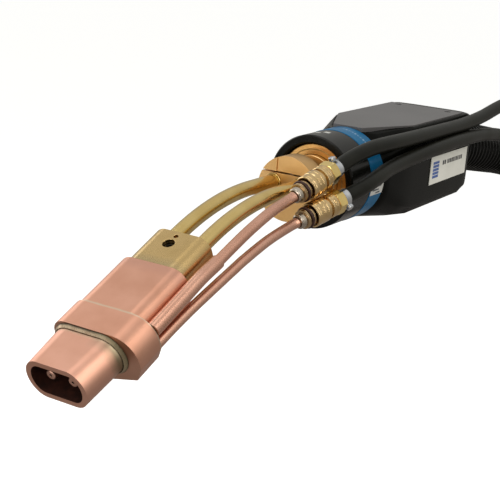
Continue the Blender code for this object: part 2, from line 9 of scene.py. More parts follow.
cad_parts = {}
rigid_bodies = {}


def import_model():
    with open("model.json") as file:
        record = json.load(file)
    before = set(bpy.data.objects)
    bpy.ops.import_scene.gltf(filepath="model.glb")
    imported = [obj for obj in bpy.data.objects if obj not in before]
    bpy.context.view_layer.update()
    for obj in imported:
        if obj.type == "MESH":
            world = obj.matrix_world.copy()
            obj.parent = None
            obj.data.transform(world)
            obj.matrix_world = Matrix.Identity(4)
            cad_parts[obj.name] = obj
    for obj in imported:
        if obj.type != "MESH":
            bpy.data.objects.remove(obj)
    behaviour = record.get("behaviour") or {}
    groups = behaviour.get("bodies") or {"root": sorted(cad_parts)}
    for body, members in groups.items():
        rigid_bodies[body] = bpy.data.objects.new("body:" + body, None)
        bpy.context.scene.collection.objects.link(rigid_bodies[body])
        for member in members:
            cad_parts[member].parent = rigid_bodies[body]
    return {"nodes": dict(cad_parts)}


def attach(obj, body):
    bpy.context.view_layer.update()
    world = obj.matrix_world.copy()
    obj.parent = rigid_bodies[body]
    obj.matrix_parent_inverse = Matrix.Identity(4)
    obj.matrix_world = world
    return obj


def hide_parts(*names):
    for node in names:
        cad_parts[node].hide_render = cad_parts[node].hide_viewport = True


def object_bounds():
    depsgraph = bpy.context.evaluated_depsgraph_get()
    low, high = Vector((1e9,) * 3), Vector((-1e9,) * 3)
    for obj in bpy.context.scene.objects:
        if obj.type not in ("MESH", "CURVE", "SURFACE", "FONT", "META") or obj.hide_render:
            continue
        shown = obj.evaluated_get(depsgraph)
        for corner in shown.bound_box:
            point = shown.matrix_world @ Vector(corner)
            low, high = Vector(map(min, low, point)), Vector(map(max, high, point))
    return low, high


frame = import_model()
cad_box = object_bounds()


# ---------------------------------------------------------------- studio
# A pale seamless floor lies below the hanging hoses. Four soft lights stand above, to the left, on the
# hose side and in front, under a bright sweep of sky. The camera is on the nozzle's hose side.
def pick(*objects):
    """Selects only these objects and makes the first one active."""
    bpy.ops.object.select_all(action="DESELECT")
    for thing in objects:
        thing.select_set(True)
    bpy.context.view_layer.objects.active = objects[0]


bpy.ops.object.select_all(action="DESELECT")
bpy.ops.mesh.primitive_plane_add(size=60.0, location=(0.0, 0.0, cad_box[0][2] - 0.012))
floor = bpy.context.object
floor.name = "studio_floor"
floor.visible_glossy = False
floor.visible_diffuse = False
floor_paint = bpy.data.materials.new("floor_paint")
floor_paint.use_nodes = True
paint = floor_paint.node_tree.nodes["Principled BSDF"]
paint.inputs["Base Color"].default_value = (0.9, 0.9, 0.9, 1.0)
paint.inputs["Roughness"].default_value = 0.7
paint.inputs["Emission Color"].default_value = (1.0, 1.0, 1.0, 1.0)
paint.inputs["Emission Strength"].default_value = 0.45
floor.data.materials.append(floor_paint)

for name, spot, aim, size, power, tint in (
    ("soft_box", (-0.3, -0.7, 1.7), (0.0, -0.25, -0.08), (1.3, 1.0), 6.5, (1.0, 0.985, 0.96)),
    ("left_panel", (-1.7, -0.1, 0.5), (0.0, -0.25, -0.08), (1.2, 1.4), 9.0, (0.98, 0.98, 0.98)),
    ("strip_light", (1.25, -0.35, 0.62), (0.0, -0.25, -0.08), (0.16, 1.7), 8.5, (1.0, 0.96, 0.90)),
    ("front_fill", (-0.25, -2.3, -0.05), (0.0, -0.3, -0.08), (1.3, 0.9), 10.0, (1.0, 0.98, 0.95)),
):
    lamp = bpy.data.lights.new(name, "AREA")
    lamp.shape = "RECTANGLE"
    lamp.size, lamp.size_y = size
    lamp.energy = power
    lamp.color = tint
    light = bpy.data.objects.new(name, lamp)
    bpy.context.collection.objects.link(light)
    light.location = spot
    light.rotation_euler = (Vector(aim) - Vector(spot)).to_track_quat("-Z", "Y").to_euler()

sky = bpy.data.worlds.new("studio_sky")
sky.use_nodes = True
bpy.context.scene.world = sky
nodes, links = sky.node_tree.nodes, sky.node_tree.links
backdrop = nodes["Background"]
place = nodes.new("ShaderNodeTexCoord")
height = nodes.new("ShaderNodeSeparateXYZ")
sweep = nodes.new("ShaderNodeMapRange")
sweep.inputs["From Min"].default_value = -1.0
sweep.inputs["From Max"].default_value = 1.0
shade = nodes.new("ShaderNodeValToRGB")
shade.color_ramp.elements[0].color = (0.30, 0.28, 0.26, 1.0)
shade.color_ramp.elements[0].position = 0.30
shade.color_ramp.elements[1].color = (0.66, 0.66, 0.64, 1.0)
shade.color_ramp.elements[1].position = 0.86
middle = shade.color_ramp.elements.new(0.52)
middle.color = (0.38, 0.37, 0.34, 1.0)
eye = nodes.new("ShaderNodeLightPath")
paper = nodes.new("ShaderNodeMix")
paper.data_type = "RGBA"
paper.inputs["B"].default_value = (1.0, 1.0, 1.0, 1.0)
links.new(place.outputs["Generated"], height.inputs["Vector"])
links.new(height.outputs["Z"], sweep.inputs["Value"])
links.new(sweep.outputs["Result"], shade.inputs["Fac"])
links.new(shade.outputs["Color"], paper.inputs["A"])
links.new(eye.outputs["Is Camera Ray"], paper.inputs["Factor"])
links.new(paper.outputs["Result"], backdrop.inputs["Color"])
bpy.context.scene.view_settings.view_transform = "Standard"

lens = bpy.data.cameras.new("camera")
lens.lens = 83.35
lens.sensor_width = 36.0
lens.clip_start = 0.01
camera = bpy.data.objects.new("camera", lens)
bpy.context.collection.objects.link(camera)
camera.location = (0.44834, -1.01697, 0.16578)
camera.rotation_euler = (math.radians(74.105), math.radians(-4.035), math.radians(31.990))
bpy.context.scene.camera = camera


# ---------------------------------------------------------------- water hoses
# Two reinforced rubber hoses, 13 mm outside. Each is pushed onto its coupling, runs back along the
# housing and hangs from there under its own weight to its plug.
def torch(x, y, z):
    """The point given in millimetres from the middle of the torch's front ring, in the shared frame."""
    return Vector((x, y - 176.0, z - 41.6)) * 0.001


def smooth_path(route, spacing):
    """Points along a smooth curve through the route, about spacing millimetres apart."""
    points = [Vector(p) for p in route]
    ends = [points[0] * 2.0 - points[1]] + points + [points[-1] * 2.0 - points[-2]]
    fine = []
    for a, b, c, d in zip(ends, ends[1:], ends[2:], ends[3:]):
        for k in range(16):
            t = k / 16.0
            fine.append(0.5 * ((2.0 * b) + (c - a) * t + (2.0 * a - 5.0 * b + 4.0 * c - d) * t * t
                               + (3.0 * b - a - 3.0 * c + d) * t ** 3))
    fine.append(points[-1])
    reach = [0.0]
    for a, b in zip(fine, fine[1:]):
        reach.append(reach[-1] + (b - a).length)
    count = max(2, round(reach[-1] / spacing))
    path = []
    k = 0
    for i in range(count + 1):
        goal = reach[-1] * i / count
        while k < len(fine) - 2 and reach[k + 1] < goal:
            k += 1
        share = (goal - reach[k]) / max(reach[k + 1] - reach[k], 1e-9)
        path.append(fine[k].lerp(fine[k + 1], min(share, 1.0)))
    return path


def new_node(tree, kind, **values):
    """A node of this kind, with the values of its named inputs set."""
    made = tree.nodes.new(kind)
    for key, value in values.items():
        made.inputs[key.replace("_", " ")].default_value = value
    return made


def new_group(name, inputs, outputs):
    """An empty shader node group with these sockets, and its two end nodes."""
    tree = bpy.data.node_groups.new(name, "ShaderNodeTree")
    for kind, sockets in (("INPUT", inputs), ("OUTPUT", outputs)):
        for label, sort in sockets:
            tree.interface.new_socket(name=label, in_out=kind, socket_type=f"NodeSocket{sort}")
    return tree, tree.nodes.new("NodeGroupInput"), tree.nodes.new("NodeGroupOutput")


# Fine grain with dull, slightly dusty patches, for everything moulded in rubber or plastic.
moulded_skin, entry, result = new_group(
    "moulded_skin",
    (("Place", "Vector"), ("Clean", "Color"), ("Dusty", "Color"), ("Patch Scale", "Float"),
     ("Grain Scale", "Float"), ("Sheen Low", "Float"), ("Sheen High", "Float")),
    (("Color", "Color"), ("Roughness", "Float"), ("Height", "Float")))
join = moulded_skin.links.new
patches = new_node(moulded_skin, "ShaderNodeTexNoise", Detail=5.0, Roughness=0.62)
grain = new_node(moulded_skin, "ShaderNodeTexNoise", Detail=2.0, Roughness=0.5)
spread = new_node(moulded_skin, "ShaderNodeMapRange", From_Min=0.38, From_Max=0.72)
colour = moulded_skin.nodes.new("ShaderNodeMix")
colour.data_type = "RGBA"
dull = new_node(moulded_skin, "ShaderNodeMapRange", From_Min=0.3, From_Max=0.7)
join(entry.outputs["Place"], patches.inputs["Vector"])
join(entry.outputs["Patch Scale"], patches.inputs["Scale"])
join(entry.outputs["Place"], grain.inputs["Vector"])
join(entry.outputs["Grain Scale"], grain.inputs["Scale"])
join(patches.outputs["Fac"], spread.inputs["Value"])
join(spread.outputs["Result"], colour.inputs["Factor"])
join(entry.outputs["Clean"], colour.inputs["A"])
join(entry.outputs["Dusty"], colour.inputs["B"])
join(patches.outputs["Fac"], dull.inputs["Value"])
join(entry.outputs["Sheen Low"], dull.inputs["To Min"])
join(entry.outputs["Sheen High"], dull.inputs["To Max"])
join(colour.outputs["Result"], result.inputs["Color"])
join(dull.outputs["Result"], result.inputs["Roughness"])
join(grain.outputs["Fac"], result.inputs["Height"])


def moulded_finish(name, clean, dusty, low, high, patch=35.0, grain_scale=3000.0, bump=0.06,
                   gloss=0.3):
    """A material of rubber or plastic with its own colours, sheen and grain."""
    finish = bpy.data.materials.new(name)
    finish.use_nodes = True
    tree = finish.node_tree
    shader = tree.nodes["Principled BSDF"]
    shader.inputs["Specular IOR Level"].default_value = gloss
    spot = tree.nodes.new("ShaderNodeTexCoord")
    skin = tree.nodes.new("ShaderNodeGroup")
    skin.node_tree = moulded_skin
    skin.inputs["Clean"].default_value = (*clean, 1.0)
    skin.inputs["Dusty"].default_value = (*dusty, 1.0)
    skin.inputs["Patch Scale"].default_value = patch
    skin.inputs["Grain Scale"].default_value = grain_scale
    skin.inputs["Sheen Low"].default_value = low
    skin.inputs["Sheen High"].default_value = high
    relief = new_node(tree, "ShaderNodeBump", Strength=bump, Distance=0.0002)
    tree.links.new(spot.outputs["Object"], skin.inputs["Place"])
    tree.links.new(skin.outputs["Color"], shader.inputs["Base Color"])
    tree.links.new(skin.outputs["Roughness"], shader.inputs["Roughness"])
    tree.links.new(skin.outputs["Height"], relief.inputs["Height"])
    tree.links.new(relief.outputs["Normal"], shader.inputs["Normal"])
    return finish


hose_rubber = moulded_finish("hose_rubber", (0.006, 0.006, 0.004), (0.013, 0.013, 0.009), 0.30, 0.44,
                          gloss=0.16)

HOSE_ROUTES = (
    ((37.6, -35.5, 20.8), (41.3, -8.9, 28.9), (44.4, 16.0, 33.4), (46.8, 40.0, 34.6),
     (48.3, 66.0, 34.6), (49.0, 105.0, 34.3), (49.0, 157.0, 33.8), (49.2, 207.0, 33.8),
     (50.0, 254.0, 36.9), (51.0, 303.0, 43.0), (52.0, 362.0, 46.0), (54.0, 432.0, 35.0),
     (57.0, 505.0, 0.0), (60.0, 578.0, -58.0), (62.0, 638.0, -132.0), (63.0, 676.0, -212.0),
     (64.0, 694.0, -300.0), (64.0, 698.0, -390.0), (64.0, 698.0, -480.0)),
    ((47.66, -37.33, -0.4), (53.8, -10.9, 6.43), (54.6, 14.0, 11.4), (53.0, 38.0, 14.6),
     (52.6, 75.0, 17.4), (54.6, 126.0, 20.6), (55.2, 184.0, 21.9), (54.4, 250.0, 19.9),
     (53.4, 306.0, 12.9), (53.4, 370.0, 0.0), (55.0, 440.0, -22.0), (58.0, 507.0, -56.0),
     (61.0, 566.0, -104.0), (63.0, 615.0, -166.0), (64.5, 647.0, -238.0), (65.0, 662.0, -316.0),
     (65.0, 666.0, -400.0), (65.0, 666.0, -470.0)),
)


def drawn_line(name, path, radius, roundness=6):
    """A round line of this radius, in metres, through points given in millimetres."""
    curve = bpy.data.curves.new(name, "CURVE")
    curve.dimensions = "3D"
    curve.bevel_depth = radius
    curve.bevel_resolution = roundness
    curve.use_fill_caps = True
    spline = curve.splines.new("POLY")
    spline.points.add(len(path) - 1)
    for slot, point in zip(spline.points, path):
        slot.co = (*torch(*point), 1.0)
    piece = bpy.data.objects.new(name, curve)
    bpy.context.collection.objects.link(piece)
    return piece


water_hoses = []
for i, route in enumerate(HOSE_ROUTES):
    path = smooth_path(route, 7.0)
    hose = drawn_line(f"water_hose_skin_{i + 1}", path, 0.0065)
    hose.data.materials.append(hose_rubber)
    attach(hose, "torch_body")
    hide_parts(f"water_hose_{i + 1}")
    water_hoses.append((hose, path))


# ---------------------------------------------------------------- protective hose
# The corrugated nylon hose, 52 mm outside, that shields the power cables and wire conduits
# behind the torch. Its ribs stand about 10 mm apart.
hose_nylon = moulded_finish("hose_nylon", (0.003, 0.003, 0.0025), (0.006, 0.006, 0.005), 0.3, 0.42,
                            patch=20.0, gloss=0.06)
CONDUIT_ROUTE = (
    (0.0, 258.3, -7.0), (0.0, 292.0, -7.0), (0.0, 324.0, -9.2), (0.0, 356.0, -14.0),
    (0.0, 392.0, -20.5), (0.0, 424.0, -26.3), (0.0, 458.0, -32.6), (1.0, 502.0, -43.0), (3.0, 549.0, -61.0),
    (7.0, 594.0, -88.0), (11.0, 636.0, -128.0), (15.0, 668.0, -178.0), (18.0, 689.0, -236.0),
    (20.0, 700.0, -298.0), (21.0, 703.0, -360.0), (21.0, 703.0, -420.0))
RIB_PITCH = 10.0
conduit_path = smooth_path(CONDUIT_ROUTE, RIB_PITCH / 8.0)


def sleeve_of_rings(name, path, radii, sides):
    """A closed tube of rings square to a path in millimetres, with one radius for each ring."""
    points, faces = [], []
    for i, spot in enumerate(path):
        along = (path[min(i + 1, len(path) - 1)] - path[max(i - 1, 0)]).normalized()
        across = along.cross(Vector((1.0, 0.0, 0.0))).normalized()
        up = across.cross(along)
        for k in range(sides):
            turn = math.tau * k / sides
            points.append(torch(*(spot + (across * math.cos(turn) + up * math.sin(turn)) * radii[i])))
    for i in range(len(path) - 1):
        for k in range(sides):
            m = (k + 1) % sides
            faces.append((i * sides + k, i * sides + m, (i + 1) * sides + m, (i + 1) * sides + k))
    faces.append(tuple(range(sides)))
    faces.append(tuple(range(len(points) - sides, len(points))))
    mesh = bpy.data.meshes.new(name)
    mesh.from_pydata(points, [], faces)
    piece = bpy.data.objects.new(name, mesh)
    bpy.context.collection.objects.link(piece)
    pick(piece)
    bpy.ops.object.mode_set(mode="EDIT")
    bpy.ops.mesh.select_all(action="SELECT")
    bpy.ops.mesh.normals_make_consistent(inside=False)
    bpy.ops.object.mode_set(mode="OBJECT")
    return piece


ribs = [(25.9, 25.9, 25.9, 25.6, 24.2, 22.9, 22.9, 24.2)[i % 8] for i in range(len(conduit_path))]
conduit = sleeve_of_rings("corrugated_hose", conduit_path, ribs, 48)
conduit.data.materials.append(hose_nylon)
bpy.ops.object.shade_smooth_by_angle(angle=math.radians(50.0))
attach(conduit, "torch_body")
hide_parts("protective_hose")


# ---------------------------------------------------------------- housing
# The black housing, moulded in one piece with a rounded back. A round boss at its front takes the
# band and the ring, and a shallow pocket on top takes the mounting plate.
housing_black = moulded_finish("housing_black", (0.0022, 0.0024, 0.0016), (0.0045, 0.0046, 0.0034),
                               0.20, 0.32, patch=14.0, grain_scale=2200.0, bump=0.05, gloss=0.07)


def settle(piece, name, finish, *stands_for, body="torch_body", sharp=35.0):
    """Applies the piece's modifiers and place, smooths it, and gives it its name, finish and body."""
    pick(piece)
    for change in list(piece.modifiers):
        bpy.ops.object.modifier_apply(modifier=change.name)
    bpy.ops.object.transform_apply(location=True, rotation=True, scale=True)
    bpy.ops.object.shade_smooth_by_angle(angle=math.radians(sharp))
    even = piece.modifiers.new("even_shading", "WEIGHTED_NORMAL")
    even.keep_sharp = True
    bpy.ops.object.modifier_apply(modifier=even.name)
    piece.name = name
    piece.data.materials.clear()
    piece.data.materials.append(finish)
    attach(piece, body)
    if stands_for:
        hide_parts(*stands_for)
    return piece


def ease(piece, width, segments=3, angle=32.0):
    """Rounds the piece's sharp edges to this width."""
    round_over = piece.modifiers.new("eased_edges", "BEVEL")
    round_over.width = width
    round_over.segments = segments
    round_over.limit_method = "ANGLE"
    round_over.angle_limit = math.radians(angle)
    return piece


def merged_copy(node):
    """A copy of a CAD piece with its loose triangles merged into whole faces."""
    pick(frame["nodes"][node])
    bpy.ops.object.duplicate()
    piece = bpy.context.object
    bpy.ops.object.parent_clear(type="CLEAR_KEEP_TRANSFORM")
    bpy.ops.object.mode_set(mode="EDIT")
    bpy.ops.mesh.select_all(action="SELECT")
    bpy.ops.mesh.remove_doubles(threshold=0.00001)
    bpy.ops.mesh.dissolve_limited(angle_limit=math.radians(0.5))
    bpy.ops.object.mode_set(mode="OBJECT")
    return piece


housing = merged_copy("housing_body")
settle(housing, "housing_shell", housing_black, "housing_body", sharp=24.0)


# ---------------------------------------------------------------- mounting plate
# A grey anodised aluminium plate, let into the top of the housing. The robot's bracket bolts to
# it; two socket screws near its rear edge hold it to the housing.

# Broad patches of tarnish under fine lines left by drawing, turning or brushing, for every bare metal.
worked_metal, entry, result = new_group(
    "worked_metal",
    (("Place", "Vector"), ("Lines", "Vector"), ("Bright", "Color"), ("Deep", "Color"),
     ("Patch Scale", "Float"), ("Line Scale", "Float"), ("Smooth", "Float"), ("Rough", "Float")),
    (("Color", "Color"), ("Roughness", "Float"), ("Height", "Float")))
join = worked_metal.links.new
patches = new_node(worked_metal, "ShaderNodeTexNoise", Detail=4.0, Roughness=0.55)
strokes = new_node(worked_metal, "ShaderNodeTexNoise", Detail=3.0, Roughness=0.6)
spread = new_node(worked_metal, "ShaderNodeMapRange", From_Min=0.34, From_Max=0.66)
both = worked_metal.nodes.new("ShaderNodeMix")
both.inputs["Factor"].default_value = 0.25
colour = worked_metal.nodes.new("ShaderNodeMix")
colour.data_type = "RGBA"
dull = new_node(worked_metal, "ShaderNodeMapRange", From_Min=0.3, From_Max=0.7)
join(entry.outputs["Place"], patches.inputs["Vector"])
join(entry.outputs["Patch Scale"], patches.inputs["Scale"])
join(entry.outputs["Lines"], strokes.inputs["Vector"])
join(entry.outputs["Line Scale"], strokes.inputs["Scale"])
join(patches.outputs["Fac"], spread.inputs["Value"])
join(spread.outputs["Result"], both.inputs["A"])
join(strokes.outputs["Fac"], both.inputs["B"])
join(both.outputs["Result"], colour.inputs["Factor"])
join(entry.outputs["Deep"], colour.inputs["A"])
join(entry.outputs["Bright"], colour.inputs["B"])
join(strokes.outputs["Fac"], dull.inputs["Value"])
join(entry.outputs["Smooth"], dull.inputs["To Min"])
join(entry.outputs["Rough"], dull.inputs["To Max"])
join(colour.outputs["Result"], result.inputs["Color"])
join(dull.outputs["Result"], result.inputs["Roughness"])
join(strokes.outputs["Fac"], result.inputs["Height"])


def metal_finish(name, bright, deep, smooth, rough, patch=45.0, stretch=(1.0, 1.0, 1.0),
                 turn=(0.0, 0.0, 0.0), line_scale=6000.0, bump=0.025, metallic=1.0):
    """A bare metal worked in one direction. Its lines run along the axis with the small stretch."""
    finish = bpy.data.materials.new(name)
    finish.use_nodes = True
    tree = finish.node_tree
    shader = tree.nodes["Principled BSDF"]
    shader.inputs["Metallic"].default_value = metallic
    spot = tree.nodes.new("ShaderNodeTexCoord")
    along = new_node(tree, "ShaderNodeMapping", Rotation=turn, Scale=stretch)
    surface = tree.nodes.new("ShaderNodeGroup")
    surface.node_tree = worked_metal
    surface.inputs["Bright"].default_value = (*bright, 1.0)
    surface.inputs["Deep"].default_value = (*deep, 1.0)
    surface.inputs["Patch Scale"].default_value = patch
    surface.inputs["Line Scale"].default_value = line_scale
    surface.inputs["Smooth"].default_value = smooth
    surface.inputs["Rough"].default_value = rough
    relief = new_node(tree, "ShaderNodeBump", Strength=bump, Distance=0.0001)
    tree.links.new(spot.outputs["Object"], surface.inputs["Place"])
    tree.links.new(spot.outputs["Object"], along.inputs["Vector"])
    tree.links.new(along.outputs["Vector"], surface.inputs["Lines"])
    tree.links.new(surface.outputs["Color"], shader.inputs["Base Color"])
    tree.links.new(surface.outputs["Roughness"], shader.inputs["Roughness"])
    tree.links.new(surface.outputs["Height"], relief.inputs["Height"])
    tree.links.new(relief.outputs["Normal"], shader.inputs["Normal"])
    return finish


plate_grey = metal_finish("plate_grey", (0.150, 0.144, 0.146), (0.125, 0.12, 0.122), 0.38, 0.5, patch=12.0,
                          stretch=(1.0, 0.05, 1.0), bump=0.02, metallic=0.35)
screw_black = metal_finish("screw_black", (0.03, 0.03, 0.032), (0.015, 0.015, 0.016), 0.3, 0.5, patch=400.0)

plate = merged_copy("mount_plate")
settle(ease(plate, 0.0004), "mounting_plate", plate_grey, "mount_plate")

# Everything below is drawn in millimetres on its own bench axes and then laid in the torch.
IN_TORCH = Matrix.Translation(torch(0.0, 0.0, 0.0)) @ Matrix.Scale(0.001, 4)


def bench(start, along):
    """Bench axes with their Z along a line of the torch, from a start in torch millimetres."""
    up = Vector(along).normalized()
    side = Vector((0.0, 1.0, 0.0)) if abs(up.z) > 0.9 else Vector((0.0, 0.0, 1.0))
    across = up.cross(side).normalized()
    axes = Matrix((across.cross(up), across, up)).transposed().to_4x4()
    return Matrix.Translation(torch(*start)) @ axes @ Matrix.Scale(0.001, 4)


def cut_out(piece, cutter):
    """Takes the cutter's volume out of the piece and throws the cutter away."""
    change = piece.modifiers.new("cut", "BOOLEAN")
    change.operation = "DIFFERENCE"
    change.solver = "EXACT"
    change.object = cutter
    pick(piece)
    bpy.ops.object.modifier_apply(modifier=change.name)
    bpy.data.objects.remove(cutter)
    return piece


def rod(radius, low, high, x=0.0, y=0.0, sides=48):
    """An upright round bar on the bench, from low to high."""
    bpy.ops.object.select_all(action="DESELECT")
    bpy.ops.mesh.primitive_cylinder_add(vertices=sides, radius=radius, depth=high - low,
                                        location=(x, y, (low + high) / 2.0))
    bpy.ops.object.transform_apply(location=True, rotation=True, scale=True)
    return bpy.context.object


def socket_screw(name, radius, key, low, high, place, finish, *stands_for):
    """A socket screw's head: a bar whose top face is inset to a hexagon's size and sunk."""
    screw = rod(radius, low, high, sides=32)
    key_bar = rod(key / math.sqrt(3.0), high - (high - low) * 0.6, high + 1.0, sides=6)
    cut_out(screw, key_bar)
    ease(screw, radius * 0.06, 2)
    screw.matrix_world = place
    return settle(screw, name, finish, *stands_for)


for i, side in enumerate((-1, 1), start=1):
    socket_screw(f"plate_screw_{i}", 2.9, 3.0, 1.3, 3.6, bench((side * 26.3, 222.0, 36.6), (0.0, 0.0, 1.0)),
                 screw_black, f"mount_screw_{i}")


# ---------------------------------------------------------------- colour band and front ring
# A blue plastic band on the housing's boss, and in front of it the black ring that locks the
# neck into the housing. Both are turned rings, the band a hair larger.
def spun(profile, sides=72, hollow=True):
    """Draws a turned piece's half section, (t, radius) in millimetres, and spins it round bench Z."""
    drawing = bpy.data.meshes.new("half_section")
    lines = [(i, i + 1) for i in range(len(profile) - 1)]
    if hollow:
        lines.append((len(profile) - 1, 0))
    drawing.from_pydata([(r, 0.0, t) for t, r in profile], lines, [])
    piece = bpy.data.objects.new("turned_piece", drawing)
    bpy.context.collection.objects.link(piece)
    pick(piece)
    bpy.ops.object.mode_set(mode="EDIT")
    bpy.ops.mesh.select_all(action="SELECT")
    bpy.ops.mesh.spin(steps=sides, angle=math.tau, center=(0.0, 0.0, 0.0), axis=(0.0, 0.0, 1.0))
    bpy.ops.mesh.select_all(action="SELECT")
    bpy.ops.mesh.remove_doubles(threshold=0.001)
    bpy.ops.mesh.normals_make_consistent(inside=False)
    bpy.ops.object.mode_set(mode="OBJECT")
    return piece


def turned(name, profile, place, finish, *stands_for, sides=72, hollow=True, edge=0.15, body="torch_body"):
    """A turned piece: spun on the bench, its edges eased, then laid in its place."""
    piece = spun(profile, sides, hollow)
    if edge:
        ease(piece, edge, 2)
    piece.matrix_world = place
    return settle(piece, name, finish, *stands_for, body=body)


def on_round(angle, along, radius, width, length, thick, name, finish, body="torch_body"):
    """A thin patch, width round the ring and length along it, lying on a ring about the torch's axis."""
    bpy.ops.object.select_all(action="DESELECT")
    bpy.ops.mesh.primitive_grid_add(x_subdivisions=12, y_subdivisions=2, size=1.0)
    patch = bpy.context.object
    for corner in patch.data.vertices:
        turn = math.radians(angle) + corner.co.x * width / radius
        corner.co = (radius * math.cos(turn), along + corner.co.y * length, radius * math.sin(turn))
    thicken = patch.modifiers.new("thickness", "SOLIDIFY")
    thicken.thickness = thick
    thicken.offset = 0.0
    patch.matrix_world = IN_TORCH
    settle(patch, name, finish, body=body)
    bpy.ops.object.mode_set(mode="EDIT")
    bpy.ops.mesh.select_all(action="SELECT")
    bpy.ops.mesh.normals_make_consistent(inside=False)
    bpy.ops.object.mode_set(mode="OBJECT")
    return patch


band_blue = moulded_finish("band_blue", (0.001, 0.105, 0.25), (0.006, 0.135, 0.29), 0.24, 0.36,
                           patch=30.0, gloss=0.14)
ring_black = moulded_finish("ring_black", (0.004, 0.004, 0.003), (0.008, 0.008, 0.006), 0.16, 0.26,
                            patch=25.0, gloss=0.17)
mark_white = moulded_finish("mark_white", (0.62, 0.62, 0.6), (0.5, 0.5, 0.47), 0.4, 0.55, patch=200.0)
mark_pale_blue = moulded_finish("mark_pale_blue", (0.22, 0.36, 0.52), (0.12, 0.26, 0.42), 0.4, 0.5,
                                patch=300.0)
mark_grey = moulded_finish("mark_grey", (0.10, 0.11, 0.12), (0.06, 0.07, 0.08), 0.4, 0.5, patch=300.0)

ALONG_TORCH = bench((0.0, 0.0, 0.0), (0.0, 1.0, 0.0))
BAND_RADIUS, RING_RADIUS = 40.4, 40.0
turned("blue_band", ((35.6, 37.0), (35.6, 40.0), (36.0, BAND_RADIUS), (58.9, BAND_RADIUS), (59.3, 40.0),
                     (59.3, 37.0)),
       ALONG_TORCH, band_blue, "colour_band", sides=96)
turned("front_ring", ((0.0, 33.9), (0.0, 38.9), (1.1, RING_RADIUS), (34.9, RING_RADIUS), (35.3, 39.6),
                      (35.3, 33.7), (1.2, 32.7)),
       ALONG_TORCH, ring_black, "lock_ring", sides=96, body="lock_ring")

# Plain printed marks: two white ones on the ring, a row of dashes on the band's top, and a white tab with
# three grey bars on the hose side. Each is an angle round, a place along, a width and a length.
RING_MARKS = ((97.0, 15.4, 4.6, 3.4), (88.5, 21.0, 5.0, 5.0))
TAB_BARS = ((-4.6, 50.5, 1.5, 9.0), (-9.4, 45.0, 1.4, 12.0), (-13.2, 50.0, 1.4, 8.0))
for i, (angle, along, width, length) in enumerate(RING_MARKS, start=1):
    on_round(angle, along, RING_RADIUS + 0.05, width, length, 0.12, f"ring_mark_{i}", mark_white,
             body="lock_ring")
for i in range(9):
    on_round(86.0 - 4.2 * i, 47.6, BAND_RADIUS + 0.05, 1.9, 1.6 + 1.2 * (i % 3 == 1), 0.12,
             f"band_mark_{i + 1}", mark_pale_blue)
on_round(-9.0, 47.4, BAND_RADIUS + 0.1, 9.6, 23.0, 0.16, "band_tab", mark_white)
for i, (angle, along, width, length) in enumerate(TAB_BARS, start=1):
    on_round(angle, along, BAND_RADIUS + 0.22, width, length, 0.1, f"band_tab_mark_{i}", mark_grey)


# ---------------------------------------------------------------- neck root
# The turned brass body that plugs into the housing, with a flange just inside the front ring. The
# clamp that grips the two necks sits on its front.
root_brass = metal_finish("root_brass", (0.84, 0.55, 0.25), (0.66, 0.42, 0.18), 0.24, 0.36, patch=60.0)
flange_brass = metal_finish("flange_brass", (0.92, 0.54, 0.19), (0.80, 0.44, 0.14), 0.24, 0.34, patch=50.0)
turned("root_body", ((-20.3, 0.0), (-20.3, 22.4), (-19.7, 23.0), (-2.0, 23.0), (-1.6, 22.5), (-0.8, 22.5),
                     (-0.4, 23.0), (8.0, 23.0), (8.0, 22.0), (35.3, 22.0), (35.3, 0.0)),
       ALONG_TORCH, root_brass, "neck_root", hollow=False)
turned("root_flange", ((5.0, 23.3), (5.0, 27.0), (5.6, 27.6), (5.6, 31.2), (6.6, 32.3), (12.0, 32.3),
                       (12.0, 23.3)), ALONG_TORCH, flange_brass, "neck_flange")


# ---------------------------------------------------------------- neck clamp
# A round brass block sawn into a base and a cap. One screw from below pulls them together on the
# two necks, which pass through bores in the base.
clamp_brass = metal_finish("clamp_brass", (0.86, 0.54, 0.23), (0.74, 0.44, 0.17), 0.28, 0.40, patch=40.0,
                           stretch=(1.0, 0.08, 1.0))


NECK_X, NECK_Z = 12.6, 4.55
CLAMP_FRONT, CLAMP_SCREW_Y = -40.0, -31.3


def half_disc(slit, keep_top, back):
    """Half of the round block: a bar on the torch's axis, halved at the saw cut."""
    half = rod(27.0, CLAMP_FRONT, back, sides=96)
    half.rotation_euler = (-math.pi / 2.0, 0.0, 0.0)
    pick(half)
    bpy.ops.object.transform_apply(location=True, rotation=True, scale=True)
    bpy.ops.object.mode_set(mode="EDIT")
    bpy.ops.mesh.select_all(action="SELECT")
    bpy.ops.mesh.bisect(plane_co=(0.0, 0.0, slit), plane_no=(0.0, 0.0, 1.0), use_fill=True,
                        clear_inner=keep_top, clear_outer=not keep_top)
    bpy.ops.mesh.select_all(action="SELECT")
    bpy.ops.mesh.normals_make_consistent(inside=False)
    bpy.ops.object.mode_set(mode="OBJECT")
    return half


def level_rod(radius, front, back, x, z):
    """A round bar lying along the torch."""
    bar = rod(radius, front, back)
    bar.rotation_euler = (-math.pi / 2.0, 0.0, 0.0)
    bar.location = (x, 0.0, z)
    pick(bar)
    bpy.ops.object.transform_apply(location=True, rotation=True, scale=True)
    return bar


def block(low, high):
    """A plain block between two corners, used to cut with."""
    bpy.ops.object.select_all(action="DESELECT")
    bpy.ops.mesh.primitive_cube_add(size=1.0)
    piece = bpy.context.object
    for corner in piece.data.vertices:
        corner.co = [low[i] if corner.co[i] < 0.0 else high[i] for i in range(3)]
    return piece


